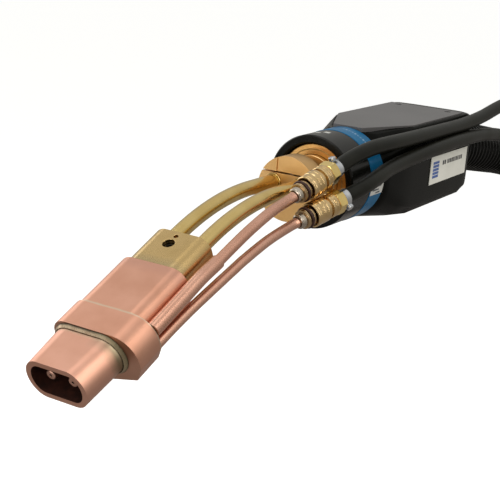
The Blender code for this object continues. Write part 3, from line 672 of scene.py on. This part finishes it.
base = half_disc(12.2, False, -20.6)
for side in (-1, 1):
    cut_out(base, level_rod(6.3, -50.0, -10.0, side * NECK_X, NECK_Z))
    cut_out(base, level_rod(7.4, CLAMP_FRONT - 1.0, CLAMP_FRONT + 0.8, side * NECK_X, NECK_Z))
cut_out(base, rod(6.0, -40.0, -20.0, 0.0, CLAMP_SCREW_Y))
cut_out(base, rod(3.3, -30.0, 20.0, 0.0, CLAMP_SCREW_Y))
ease(base, 0.5)
base.matrix_world = IN_TORCH
settle(base, "neck_clamp_base", clamp_brass, "clamp_base")

cap = half_disc(13.4, True, -22.1)
cut_out(cap, block((-10.5, CLAMP_FRONT - 1.0, 12.0), (5.0, CLAMP_FRONT + 1.0, 40.0)))
cut_out(cap, rod(3.3, 10.0, 21.0, 0.0, CLAMP_SCREW_Y))
ease(cap, 0.5)
cap.matrix_world = IN_TORCH
settle(cap, "neck_clamp_cap", clamp_brass, "clamp_cap")

screw_steel = metal_finish("screw_steel", (0.62, 0.62, 0.63), (0.45, 0.45, 0.46), 0.22, 0.36, patch=200.0)
shank = rod(3.0, 9.0, 50.4, sides=24)
screw_head = rod(5.0, 4.6, 9.7, sides=40)
key_bar = rod(2.9, 3.0, 7.4, sides=6)
cut_out(screw_head, key_bar)
pick(screw_head, shank)
union = screw_head.modifiers.new("shank", "BOOLEAN")
union.operation = "UNION"
union.object = shank
bpy.ops.object.modifier_apply(modifier=union.name)
bpy.data.objects.remove(shank)
ease(screw_head, 0.25, 2)
screw_head.matrix_world = bench((0.0, CLAMP_SCREW_Y, -30.0), (0.0, 0.0, 1.0))
settle(screw_head, "neck_clamp_screw", screw_steel, "clamp_screw")


# ---------------------------------------------------------------- twin necks
# Two brass swan-neck tubes, 12 mm outside and bent through 24 degrees. Each carries one wire, its
# gas and the welding current. A steel liner lies in each.
neck_brass = metal_finish("neck_brass", (0.80, 0.60, 0.25), (0.69, 0.49, 0.18), 0.15, 0.26, patch=50.0,
                          stretch=(1.0, 0.06, 1.0))
liner_steel = metal_finish("liner_steel", (0.55, 0.55, 0.56), (0.38, 0.38, 0.4), 0.3, 0.45, patch=300.0)
NECK_ANGLE = math.radians(24.0)
NECK_BEND = 252.0
NECK_STRAIGHT = 62.0
KINK = Vector((0.0, -128.9, NECK_Z))


def neck_line(x):
    """The neck's centre line: out of the clamp, round the bend, straight into the head block."""
    lead = NECK_BEND * math.tan(NECK_ANGLE / 2.0)
    path = [Vector((x, -20.6 - 5.0 * k, NECK_Z)) for k in range(11)]
    for k in range(25):
        angle = NECK_ANGLE * k / 24
        path.append(Vector((x, KINK.y + lead - NECK_BEND * math.sin(angle),
                            NECK_Z - NECK_BEND * (1.0 - math.cos(angle)))))
    path.append(Vector((x, KINK.y - NECK_STRAIGHT * math.cos(NECK_ANGLE),
                        NECK_Z - NECK_STRAIGHT * math.sin(NECK_ANGLE))))
    return path


def bent_bar(name, path, radius, finish, *stands_for):
    """A round bar of this radius, in millimetres, along a path. The curve is made a mesh."""
    bar = drawn_line(name, path, radius * 0.001, 14)
    pick(bar)
    bpy.ops.object.convert(target="MESH")
    bar = bpy.context.object
    bpy.ops.object.mode_set(mode="EDIT")
    bpy.ops.mesh.select_all(action="SELECT")
    bpy.ops.mesh.remove_doubles(threshold=0.000001)
    bpy.ops.mesh.normals_make_consistent(inside=False)
    bpy.ops.object.mode_set(mode="OBJECT")
    return settle(bar, name, finish, *stands_for, sharp=40.0)


for i, side in enumerate((-1, 1), start=1):
    bent_bar(f"swan_neck_{i}", neck_line(side * NECK_X), 6.0, neck_brass, f"neck_tube_{i}")
    frame["nodes"][f"wire_liner_{i}"].data.materials.clear()
    frame["nodes"][f"wire_liner_{i}"].data.materials.append(liner_steel)
    turned(f"neck_socket_{i}", ((0.0, 6.05), (0.0, 7.2), (1.6, 7.2), (1.6, 6.05)),
           bench((side * NECK_X, CLAMP_FRONT - 1.4, NECK_Z), (0.0, 1.0, 0.0)), neck_brass, edge=0.3)


# ---------------------------------------------------------------- head block
# A brass block with rounded ends that takes both necks and spreads gas and water to the nozzle.
# A set screw and a pin sit in its top face.
NOZZLE_AXES = Matrix(((1.0, 0.0, 0.0, 0.0),
                      (0.0, -math.sin(NECK_ANGLE), -math.cos(NECK_ANGLE), 0.0),
                      (0.0, math.cos(NECK_ANGLE), -math.sin(NECK_ANGLE), 0.0),
                      (0.0, 0.0, 0.0, 1.0)))
IN_NOZZLE = Matrix.Translation(torch(*KINK)) @ NOZZLE_AXES @ Matrix.Scale(0.001, 4)
GROUP_X, GROUP_N = -3.0, -7.3
# Where the parts of the nozzle group begin, in millimetres along its axis from the necks' kink.
HEAD_START, SLEEVE_START, JACKET_START, NOZZLE_START, NOZZLE_END = 54.4, 91.8, 143.6, 168.0, 205.0


def long_block(half_width, half_height, corner, low, high, steps=10):
    """A block along the nozzle group's middle line, with its four long edges rounded."""
    piece = block((GROUP_X - half_width, GROUP_N - half_height, low),
                  (GROUP_X + half_width, GROUP_N + half_height, high))
    pick(piece)
    bpy.ops.object.mode_set(mode="EDIT")
    bpy.ops.mesh.select_mode(type="EDGE")
    bpy.ops.mesh.select_all(action="DESELECT")
    bpy.ops.object.mode_set(mode="OBJECT")
    for edge in piece.data.edges:
        a, b = (piece.data.vertices[k].co for k in edge.vertices)
        edge.select = abs(a.z - b.z) > 0.1
    bpy.ops.object.mode_set(mode="EDIT")
    bpy.ops.mesh.bevel(offset=corner, offset_type="OFFSET", segments=steps, profile=0.5, clamp_overlap=False)
    bpy.ops.mesh.select_all(action="SELECT")
    bpy.ops.mesh.remove_doubles(threshold=0.0005)
    bpy.ops.mesh.normals_make_consistent(inside=False)
    bpy.ops.object.mode_set(mode="OBJECT")
    return piece


def pick_face(piece, level):
    """In edit mode, selects only the flat face at this height."""
    bpy.ops.object.mode_set(mode="OBJECT")
    for element in (*piece.data.vertices, *piece.data.edges):
        element.select = False
    for face in piece.data.polygons:
        face.select = all(abs(piece.data.vertices[k].co.z - level) < 0.01 for k in face.vertices)
    bpy.ops.object.mode_set(mode="EDIT")
    bpy.ops.mesh.select_mode(type="FACE")


def stain_and_shade_band(finish, centre, width, tint, amount=0.8, ragged=6.0, side=None):
    """Tints the metal round one station of the nozzle axis, in millimetres. Some calls lay brazing lines and
    stains, some lay painted shade.
    """
    tree = finish.node_tree
    shader = tree.nodes["Principled BSDF"]
    under = shader.inputs["Base Color"].links[0].from_socket
    spot = tree.nodes.new("ShaderNodeTexCoord")
    stain_and_shade_node = tree.nodes.new("ShaderNodeGroup")
    stain_and_shade_node.node_tree = stain_and_shade_mask
    stain_and_shade_node.inputs["Centre"].default_value = centre * 0.001
    stain_and_shade_node.inputs["Width"].default_value = width * 0.001
    stain_and_shade_node.inputs["Ragged"].default_value = ragged * 0.001
    stain_and_shade_node.inputs["From Side"].default_value = -1.0 if side is None else side * 0.001
    stain_and_shade_node.inputs["Amount"].default_value = amount
    over = tree.nodes.new("ShaderNodeMix")
    over.data_type = "RGBA"
    over.inputs["B"].default_value = (*tint, 1.0)
    tree.links.new(spot.outputs["Object"], stain_and_shade_node.inputs["Place"])
    tree.links.new(stain_and_shade_node.outputs["Mask"], over.inputs["Factor"])
    tree.links.new(under, over.inputs["A"])
    tree.links.new(over.outputs["Result"], shader.inputs["Base Color"])


# How far a point lies from a station of the nozzle axis, broken up by noise, as a mask. It fades in
# from one side where From Side is set.
stain_and_shade_mask, entry, result = new_group(
    "stain_and_shade_mask",
    (("Place", "Vector"), ("Centre", "Float"), ("Width", "Float"), ("Ragged", "Float"),
     ("From Side", "Float"), ("Amount", "Float")),
    (("Mask", "Float"),))
join = stain_and_shade_mask.links.new
station = stain_and_shade_mask.nodes.new("ShaderNodeVectorMath")
station.operation = "DOT_PRODUCT"
station.inputs[1].default_value = (0.0, -math.cos(NECK_ANGLE), -math.sin(NECK_ANGLE))
cloud = new_node(stain_and_shade_mask, "ShaderNodeTexNoise", Scale=90.0, Detail=4.0, Roughness=0.6)
split = stain_and_shade_mask.nodes.new("ShaderNodeSeparateXYZ")


def sum_node(tree, operation, first, second):
    """A Math node of two values, each a number or a socket."""
    made = tree.nodes.new("ShaderNodeMath")
    made.operation = operation
    for socket, value in zip(made.inputs, (first, second)):
        if isinstance(value, float):
            socket.default_value = value
        else:
            tree.links.new(value, socket)
    return made.outputs["Value"]


join(entry.outputs["Place"], station.inputs[0])
join(entry.outputs["Place"], cloud.inputs["Vector"])
join(entry.outputs["Place"], split.inputs["Vector"])
KINK_STATION = torch(*KINK).dot(Vector((0.0, -math.cos(NECK_ANGLE), -math.sin(NECK_ANGLE))))
here = sum_node(stain_and_shade_mask, "SUBTRACT", station.outputs["Value"], KINK_STATION)
ragged = sum_node(stain_and_shade_mask, "MULTIPLY",
                  sum_node(stain_and_shade_mask, "SUBTRACT", cloud.outputs["Fac"], 0.5), entry.outputs["Ragged"])
away = sum_node(stain_and_shade_mask, "ABSOLUTE",
                sum_node(stain_and_shade_mask, "ADD",
                         sum_node(stain_and_shade_mask, "SUBTRACT", here, entry.outputs["Centre"]), ragged), 0.0)
near = sum_node(stain_and_shade_mask, "SUBTRACT", 1.0,
                sum_node(stain_and_shade_mask, "DIVIDE", away, entry.outputs["Width"]))
across = new_node(stain_and_shade_mask, "ShaderNodeMapRange")
join(split.outputs["X"], across.inputs["Value"])
join(entry.outputs["From Side"], across.inputs["From Min"])
join(sum_node(stain_and_shade_mask, "ADD", entry.outputs["From Side"], 0.018), across.inputs["From Max"])
faded = sum_node(stain_and_shade_mask, "MULTIPLY", sum_node(stain_and_shade_mask, "MAXIMUM", near, 0.0),
                 across.outputs["Result"])
join(sum_node(stain_and_shade_mask, "MULTIPLY", faded, entry.outputs["Amount"]), result.inputs["Mask"])

TILT = (NECK_ANGLE, 0.0, 0.0)
head_brass = metal_finish("head_brass", (0.68, 0.48, 0.22), (0.57, 0.39, 0.16), 0.22, 0.32, patch=40.0,
                          stretch=(1.0, 0.08, 1.0), turn=TILT)
# Painted shade: the head block's front end is darkened where it meets the step up to the sleeve.
stain_and_shade_band(head_brass, 92.0, 9.0, (0.46, 0.36, 0.20), amount=0.7)

head = long_block(24.5, 15.9, 11.0, HEAD_START, SLEEVE_START - 0.3)
for side in (-1, 1):
    cut_out(head, rod(6.3, HEAD_START - 5.4, HEAD_START + 8.0, side * NECK_X, 0.0))
SET_SCREW_X, SET_SCREW_S = -4.7, 68.4
for x, s, radius, depth in ((SET_SCREW_X, SET_SCREW_S, 4.6, 11.0), (-4.2, 59.6, 1.8, 5.0)):
    drill = rod(radius, 8.6 - depth, 13.0)
    drill.rotation_euler = (-math.pi / 2.0, 0.0, 0.0)
    drill.location = (x, 0.0, s)
    pick(drill)
    bpy.ops.object.transform_apply(location=True, rotation=True, scale=True)
    cut_out(head, drill)
ease(head, 0.45)
head.matrix_world = IN_NOZZLE
settle(head, "head_body", head_brass, "head_block")

set_screw = rod(4.2, -2.1, 5.2, sides=32)
cut_out(set_screw, rod(2.6, 2.0, 7.0, sides=6))
ease(set_screw, 0.35, 2)
set_screw.rotation_euler = (-math.pi / 2.0, 0.0, 0.0)
set_screw.location = (SET_SCREW_X, 0.0, SET_SCREW_S)
pick(set_screw)
bpy.ops.object.transform_apply(location=True, rotation=True, scale=True)
set_screw.matrix_world = IN_NOZZLE
settle(set_screw, "head_screw", screw_black, "head_set_screw")


# ---------------------------------------------------------------- jacket sleeve and water jacket
# A drawn copper sleeve over the head block's front, brazed to a thick copper collar with a lug on
# the hose side. Water runs round inside the collar. Brazing leaves a pale line and a dark line at the
# collar's front edge, and the sleeve's rear edge carries painted shade.
PINK, RUST = (0.70, 0.375, 0.265), (0.60, 0.30, 0.20)
sleeve_copper = metal_finish("sleeve_copper", PINK, RUST, 0.33, 0.44, patch=32.0,
                             stretch=(1.0, 0.12, 1.0), turn=TILT)
stain_and_shade_band(sleeve_copper, 144.0, 2.2, (0.62, 0.56, 0.40), amount=1.0, ragged=1.5)
# Painted shade: the sleeve's rear edge is darkened, at its step over the head block.
stain_and_shade_band(sleeve_copper, 96.0, 8.0, (0.58, 0.31, 0.23), amount=0.6)
jacket_copper = metal_finish("jacket_copper", PINK, RUST, 0.34, 0.45, patch=32.0,
                             stretch=(1.0, 0.15, 1.0), turn=TILT)
stain_and_shade_band(jacket_copper, JACKET_START, 1.6, (0.62, 0.56, 0.42), amount=1.0, ragged=1.2)
stain_and_shade_band(jacket_copper, NOZZLE_START, 1.2, (0.42, 0.26, 0.18), amount=0.35, ragged=1.6)

sleeve = long_block(28.8, 16.5, 12.0, SLEEVE_START, JACKET_START)
cut_out(sleeve, long_block(25.3, 13.0, 8.5, 85.0, 150.0))
ease(sleeve, 0.5)
sleeve.matrix_world = IN_NOZZLE
settle(sleeve, "sleeve_body", sleeve_copper, "jacket_sleeve")

jacket = merged_copy("water_jacket")
settle(ease(jacket, 0.0007, 3, 40.0), "jacket_body", jacket_copper, "water_jacket", sharp=30.0)


# ---------------------------------------------------------------- gas nozzle
# An oblong copper nozzle that tapers to a rounded rim, brazed to the jacket all round. Its bore's
# inner faces are painted near black.
nozzle_copper = metal_finish("nozzle_copper", (0.73, 0.405, 0.30), (0.63, 0.33, 0.23), 0.38, 0.48, patch=28.0,
                             stretch=(1.0, 0.15, 1.0), turn=TILT)
# A dark olive band beside the bead on the nozzle's hose side only, then a pale band along the bead.
stain_and_shade_band(nozzle_copper, 171.5, 9.0, (0.24, 0.22, 0.14), amount=1.0, ragged=9.0, side=4.0)
stain_and_shade_band(nozzle_copper, 170.0, 3.4, (0.66, 0.56, 0.38), amount=0.6, ragged=3.0)
# A near-black finish for the faces inside the nozzle's bore.
dark_bore = metal_finish("dark_bore", (0.10, 0.030, 0.018), (0.02, 0.010, 0.008), 0.5, 0.7, patch=120.0, metallic=0.5)

nozzle = long_block(28.0, 14.65, 14.6, NOZZLE_START, NOZZLE_END, steps=16)
pick(nozzle)
pick_face(nozzle, NOZZLE_END)
bpy.ops.transform.resize(value=(24.85 / 28.0, 15.55 / 14.65, 1.0),
                         center_override=(GROUP_X, GROUP_N, NOZZLE_END))
bpy.ops.mesh.inset(thickness=4.0, depth=0.0, use_boundary=True)
BORE_START = NOZZLE_START - 0.5
bpy.ops.mesh.extrude_region_move(TRANSFORM_OT_translate={"value": (0.0, 0.0, BORE_START - NOZZLE_END)})
bpy.ops.transform.resize(value=(1.12, 1.0, 1.0), center_override=(GROUP_X, GROUP_N, BORE_START))
bpy.ops.mesh.delete(type="FACE")
pick_face(nozzle, NOZZLE_START)
bpy.ops.mesh.delete(type="FACE")
bpy.ops.mesh.select_mode(type="EDGE")
bpy.ops.mesh.select_all(action="DESELECT")
bpy.ops.mesh.select_non_manifold()
bpy.ops.mesh.bridge_edge_loops()
bpy.ops.mesh.select_all(action="SELECT")
bpy.ops.mesh.normals_make_consistent(inside=False)
bpy.ops.object.mode_set(mode="OBJECT")
ease(nozzle, 1.3, 5)
nozzle.matrix_world = IN_NOZZLE
settle(nozzle, "nozzle_body", nozzle_copper, "gas_nozzle")
nozzle.data.materials.append(dark_bore)

# The bore's faces look towards a slot that runs between the two tips; all but the rim's are painted near
# black.
TIP_OFFSET = 0.0093
DARK_BORE_END = 0.203
middle = torch(*KINK) + NOZZLE_AXES.to_3x3() @ Vector((GROUP_X, GROUP_N, 0.0)) * 0.001
axis = NOZZLE_AXES.to_3x3() @ Vector((0.0, 0.0, 1.0))
for face in nozzle.data.polygons:
    offset = face.center - middle
    from_axis = offset - axis * offset.dot(axis)
    from_axis.x -= max(-TIP_OFFSET, min(TIP_OFFSET, from_axis.x))
    if offset.dot(axis) < DARK_BORE_END and face.normal.dot(from_axis) < -0.5 * from_axis.length:
        face.material_index = 1

bead_braze = metal_finish("bead_braze", (0.86, 0.68, 0.47), (0.56, 0.38, 0.25), 0.22, 0.42, patch=130.0,
                          line_scale=900.0, bump=0.2)
# A near-black line along the bead's jacket side, and a dark olive band on the bead's hose side only.
stain_and_shade_band(bead_braze, 168.2, 1.1, (0.09, 0.08, 0.055), amount=1.0, ragged=0.8)
stain_and_shade_band(bead_braze, 169.5, 5.0, (0.30, 0.26, 0.15), amount=0.8, ragged=4.0, side=2.0)
bead = merged_copy("nozzle_solder_bead")
settle(ease(bead, 0.0005, 3, 30.0), "braze_bead", bead_braze, "nozzle_solder_bead", sharp=60.0)


# ---------------------------------------------------------------- contact tips and what holds them
# Two copper contact tips screwed into brass holders. Each holder has a gas diffuser behind the
# tip and a ceramic ring that insulates it from the nozzle.
tip_copper = metal_finish("tip_copper", (0.80, 0.48, 0.37), (0.62, 0.33, 0.24), 0.28, 0.42, patch=180.0)
wire_hole = metal_finish("wire_hole", (0.05, 0.02, 0.015), (0.02, 0.01, 0.01), 0.6, 0.8, patch=300.0,
                         metallic=0.3)
diffuser_brass = metal_finish("diffuser_brass", (0.66, 0.46, 0.20), (0.5, 0.33, 0.14), 0.3, 0.42, patch=150.0)
ceramic_white = moulded_finish("ceramic_white", (0.72, 0.69, 0.62), (0.58, 0.54, 0.47), 0.5, 0.7, patch=150.0)


def cad_finish(finish, *nodes):
    """Gives CAD pieces that show as they are their own finish."""
    for node in nodes:
        frame["nodes"][node].data.materials.clear()
        frame["nodes"][node].data.materials.append(finish)


for i, side in enumerate((-1, 1), start=1):
    x = GROUP_X + side * TIP_OFFSET * 1000.0
    at_tip = IN_NOZZLE @ Matrix.Translation((x, GROUP_N, 0.0))
    tip = turned(f"tip_{i}", ((160.3, 0.9), (160.3, 4.6), (161.5, 4.8), (164.0, 4.8), (187.0, 4.8),
                              (191.0, 4.5), (196.0, 3.9), (198.9, 3.7), (199.5, 3.2), (199.5, 1.1),
                              (198.9, 0.9)),
                 at_tip, tip_copper, f"contact_tip_{i}", sides=40, edge=0.12, body=f"tip_{i}")
    tip.data.materials.append(wire_hole)
    centre = torch(*KINK) + NOZZLE_AXES.to_3x3() @ Vector((x, GROUP_N, 0.0)) * 0.001
    for face in tip.data.polygons:
        offset = face.center - centre
        if (offset - axis * offset.dot(axis)).length < 0.00098:
            face.material_index = 1
cad_finish(diffuser_brass, "gas_diffuser_1", "gas_diffuser_2", "tip_holder_1", "tip_holder_2")
cad_finish(ceramic_white, "tip_insulator_1", "tip_insulator_2")


# ---------------------------------------------------------------- cooling pipes
# Two bent copper pipes carry water between the couplings and the jacket. The upper one runs in a
# wider copper sleeve beside the nozzle group.
pipe_copper = metal_finish("pipe_copper", (0.78, 0.44, 0.32), (0.68, 0.36, 0.25), 0.24, 0.34, patch=40.0,
                           line_scale=1500.0, bump=0.008)
COUPLING_FRONT = ((33.0, -68.5, 10.8), (40.0, -70.2, -8.9))
COUPLING_AXIS = ((0.133, 0.949, 0.288), (0.22, 0.944, 0.244))


def in_group(x, n, s):
    """A point of the nozzle group's axes, in torch millimetres."""
    return tuple(KINK + NOZZLE_AXES.to_3x3() @ Vector((x, n, s)))


# Each pipe runs from its place on the jacket, round its bends, to a stop this far in front of its coupling.
CUP = 15.0
pipe_starts = ([in_group(31.6, -0.8, s) for s in (JACKET_START, 124.0, 104.0, 84.0)],
               [in_group(30.5, -14.5, JACKET_START), in_group(30.6, -14.9, 124.0),
                in_group(31.0, -15.6, 104.0), in_group(32.0, -16.4, 84.0)])
pipe_bends = (((31.8, -186.0, -23.2), (31.8, -166.0, -15.4), (31.7, -145.0, -7.8), (31.4, -116.0, 0.6)),
              ((33.6, -168.0, -32.8), (34.2, -153.0, -27.5), (35.0, -124.0, -19.4)))
for i in (0, 1):
    along = Vector(COUPLING_AXIS[i]).normalized()
    end = Vector(COUPLING_FRONT[i]) - along * CUP
    pipe_path = smooth_path([*pipe_starts[i], *pipe_bends[i], tuple(end - along * 9.0), tuple(end)], 2.5)
    bent_bar(f"water_pipe_{i + 1}", pipe_path, (4.2, 4.0)[i], pipe_copper, f"cooling_pipe_{i + 1}")
    if i == 0:
        shield_path = [p for p in pipe_path if p.y < -184.0]
bent_bar("pipe_shield", shield_path, 5.3, pipe_copper, "pipe_sleeve")


# ---------------------------------------------------------------- quick water couplings
# Each pipe ends in a brass plug with a rubber seal, pushed into a sprung collar on the coupling
# body. The body ends in a hexagon for the spanner and a barb for the hose.
coupling_brass = metal_finish("coupling_brass", (0.78, 0.57, 0.30), (0.64, 0.44, 0.20), 0.10, 0.20,
                              patch=90.0)
# Painted light: a brighter, yellower copy of the coupling brass for the hexagons, as their faces catch the
# light.
brass_painted_bright = metal_finish("brass_painted_bright", (0.90, 0.68, 0.27), (0.78, 0.56, 0.2), 0.14, 0.24, patch=60.0)
plug_brass = metal_finish("plug_brass", (0.56, 0.40, 0.22), (0.40, 0.27, 0.14), 0.14, 0.26, patch=120.0)
solder_grey = metal_finish("solder_grey", (0.60, 0.53, 0.44), (0.42, 0.36, 0.29), 0.16, 0.3, patch=150.0)
seal_brown = moulded_finish("seal_brown", (0.035, 0.014, 0.01), (0.06, 0.025, 0.018), 0.3, 0.45, patch=200.0)
clamp_steel = metal_finish("clamp_steel", (0.70, 0.71, 0.73), (0.52, 0.53, 0.55), 0.14, 0.26, patch=150.0)


def ear_clamp(name, place, low, ear_angle, *stands_for):
    """A steel band round the hose, with the ear that the pliers pinch: a folded loop on the band."""
    high = low + 5.5
    band = spun(((low, 6.85), (low, 7.55), (high, 7.55), (high, 6.85)), sides=64)
    ear = block((-2.5, 7.2, low + 0.3), (2.5, 10.9, high - 0.3))
    ease(ear, 1.1, 4)
    pick(ear)
    bpy.ops.object.modifier_apply(modifier="eased_edges")
    cut_out(ear, block((-1.4, 7.9, low - 1.0), (1.4, 9.9, high + 1.0)))
    foot = block((-5.0, 7.3, low + 1.2), (-2.0, 8.0, high - 1.2))
    for extra in (ear, foot):
        weld = band.modifiers.new("weld", "BOOLEAN")
        weld.operation = "UNION"
        weld.object = extra
        pick(band)
        bpy.ops.object.modifier_apply(modifier=weld.name)
        bpy.data.objects.remove(extra)
    ease(band, 0.12, 2, 50.0)
    band.matrix_world = place @ Matrix.Rotation(math.radians(-ear_angle), 4, "Z")
    return settle(band, name, clamp_steel, *stands_for)


for i in (0, 1):
    place = bench(COUPLING_FRONT[i], COUPLING_AXIS[i])
    turned(f"solder_cup_{i + 1}", ((-14.4, 4.3), (-14.4, 4.9), (-13.6, 6.0), (-10.2, 6.25), (-9.6, 6.2),
                                   (-9.6, 4.3)),
           place, solder_grey, sides=48, edge=0.3)
    turned(f"plug_{i + 1}", ((-9.5, 0.0), (-9.5, 6.3), (-9.0, 7.8), (-7.4, 7.8), (-7.1, 7.5),
                             (-6.8, 7.8), (-6.4, 6.7), (-3.4, 6.7), (-3.0, 7.9), (-1.4, 7.9),
                             (-1.0, 6.0), (7.5, 6.0), (7.5, 0.0)),
           place, plug_brass, f"coupling_plug_{i + 1}", sides=56, hollow=False)
    turned(f"seal_{i + 1}", [(-4.9 + 1.05 * math.cos(k * math.tau / 12),
                              8.0 + 0.95 * math.sin(k * math.tau / 12)) for k in range(12)],
           place, seal_brown, f"plug_seal_{i + 1}", sides=56, edge=0.0)
    turned(f"collar_{i + 1}", ((0.0, 8.7), (0.0, 9.5), (0.8, 10.1), (2.2, 10.1), (2.5, 9.9), (2.8, 10.1),
                               (5.5, 10.1), (6.2, 9.6), (7.4, 9.6), (8.1, 10.1), (11.0, 10.1),
                               (11.3, 9.9), (11.6, 10.1), (14.3, 10.1), (15.0, 9.7), (15.0, 8.3),
                               (1.0, 8.3)),
           place, coupling_brass, f"coupling_collar_{i + 1}", sides=72, body=f"collar_{i + 1}")
    turned(f"body_{i + 1}", ((7.8, 0.0), (7.8, 7.2), (8.4, 7.9), (18.3, 7.9), (18.3, 9.1), (18.9, 9.7),
                             (20.9, 9.7), (21.5, 9.0), (22.1, 9.0), (22.7, 9.7), (24.9, 9.7),
                             (25.5, 8.6), (26.2, 8.6), (26.2, 0.0)),
           place, coupling_brass, f"coupling_body_{i + 1}", sides=72, hollow=False)
    nut = rod(8.8 / math.cos(math.pi / 6.0), 26.2, 34.4, sides=6)
    turned_corners = spun(((26.2, 0.0), (26.2, 9.1), (27.0, 10.3), (33.4, 10.3), (34.4, 8.6), (34.4, 0.0)),
                          hollow=False)
    corners = nut.modifiers.new("turned_corners", "BOOLEAN")
    corners.operation = "INTERSECT"
    corners.object = turned_corners
    pick(nut)
    bpy.ops.object.modifier_apply(modifier=corners.name)
    bpy.data.objects.remove(turned_corners)
    ease(nut, 0.2, 2)
    nut.matrix_world = place
    settle(nut, f"hexagon_{i + 1}", brass_painted_bright)
    ear_clamp(f"ear_clamp_{i + 1}", place, 35.7, (100.0, -40.0)[i], f"hose_clamp_{i + 1}")


# ---------------------------------------------------------------- hose ends
# Each water hose ends in a brass plug held by its own ear clamp, hanging where the robot's water
# lines start. The protective hose ends in a cuff and the torch's central connector.
for i, (hose, path) in enumerate(water_hoses):
    far = bench(HOSE_ROUTES[i][-1], (0.0, 0.0, -1.0))
    clamp = ear_clamp(f"far_ear_clamp_{i + 1}", far, -9.0, 60.0, f"hose_end_clamp_{i + 1}")
    spanner = rod(8.5 / math.cos(math.pi / 6.0), 0.4, 8.2, sides=6)
    ease(spanner, 0.5, 3)
    spanner.matrix_world = far
    settle(spanner, f"far_hexagon_{i + 1}", brass_painted_bright)
    plug = turned(f"far_plug_{i + 1}", ((8.2, 0.0), (8.2, 6.2), (12.0, 6.2), (12.6, 7.4), (14.0, 7.4),
                                        (14.3, 7.1), (14.6, 7.4), (16.0, 7.4), (16.6, 5.2), (23.0, 5.2),
                                        (23.6, 4.6), (25.0, 4.6), (25.6, 5.2), (28.0, 5.2), (29.0, 4.2),
                                        (29.0, 0.0)),
                  far, coupling_brass, f"hose_end_plug_{i + 1}", sides=56, hollow=False)

cuff_rubber = moulded_finish("cuff_rubber", (0.008, 0.008, 0.008), (0.024, 0.023, 0.022), 0.4, 0.55,
                             patch=60.0)
rear = [(0.0, 26.3), (0.0, 30.6), (0.5, 31.0), (9.6, 31.0), (10.6, 30.4)]
for k in range(5):
    rear += [(12.0 + 3.0 * k, 29.9 - 0.35 * k), (12.8 + 3.0 * k, 28.6 - 0.35 * k),
             (13.6 + 3.0 * k, 29.7 - 0.35 * k)]
turned("rear_boot", (*rear, (27.4, 27.9), (28.0, 27.3), (28.0, 26.3)),
       bench((0.0, 258.3, -7.0), (0.0, 1.0, 0.0)), cuff_rubber, "rear_cuff", sides=80)
far = bench(CONDUIT_ROUTE[-1], (0.0, 0.0, -1.0))
boot = turned("far_boot", ((-26.0, 26.3), (-26.0, 27.4), (-25.4, 28.0), (-18.0, 29.2), (-17.4, 28.6),
                           (-16.6, 28.6), (-16.0, 29.6), (-12.0, 30.4), (-0.5, 30.4), (0.0, 29.9),
                           (0.0, 26.3)),
              far, cuff_rubber, "hose_end_cuff", sides=80)
connector = turned("central_connector", ((0.3, 0.0), (0.3, 29.4), (0.9, 30.0), (5.4, 30.0), (6.2, 29.2),
                                         (7.0, 27.0), (12.0, 27.0), (12.6, 26.4), (13.4, 26.4),
                                         (14.0, 27.0), (29.2, 27.0), (30.4, 26.0), (31.0, 25.0),
                                         (31.0, 14.0), (38.0, 14.0), (38.5, 13.3), (40.0, 13.3),
                                         (40.5, 14.0), (44.2, 14.0), (45.0, 13.2), (45.0, 0.0)),
                   far, coupling_brass, "torch_connector", sides=80, hollow=False)


# ---------------------------------------------------------------- side label
# A plain printed label on the housing's hose side. It carries a blue block and a row of dashes
# where a maker would print a name.
label_white = moulded_finish("label_white", (0.86, 0.86, 0.80), (0.74, 0.74, 0.68), 0.32, 0.45, patch=25.0)
label_blue = moulded_finish("label_blue", (0.05, 0.11, 0.36), (0.09, 0.16, 0.42), 0.35, 0.45, patch=120.0)
label_dark = moulded_finish("label_dark", (0.03, 0.03, 0.035), (0.06, 0.06, 0.065), 0.35, 0.45, patch=120.0)


def printed(name, low_y, high_y, low_z, high_z, finish, *stands_for, low_x=44.27, high_x=44.36):
    """A flat printed patch on the housing's side, in torch millimetres."""
    patch = block((low_x, low_y, low_z), (high_x, high_y, high_z))
    ease(patch, 0.04, 2)
    patch.matrix_world = IN_TORCH
    return settle(patch, name, finish, *stands_for)


printed("label", 152.0, 240.0, -18.5, 8.0, label_white, "side_label", low_x=43.8, high_x=44.3)
for i in range(5):
    printed(f"label_block_{i + 1}", 157.5, 171.5, -13.0 + 3.3 * i, -10.4 + 3.3 * i, label_blue)
dash_y = 180.0
for i, width in enumerate((3.4, 3.4, 1.6, 3.0, 3.2, 3.0, 2.6, 1.6, 3.2, 2.2, 1.2, 2.8, 2.6)):
    printed(f"label_dash_{i + 1}", dash_y, dash_y + width, -2.6, 1.6, label_dark)
    dash_y += width + 1.0 + 2.0 * (i == 1)
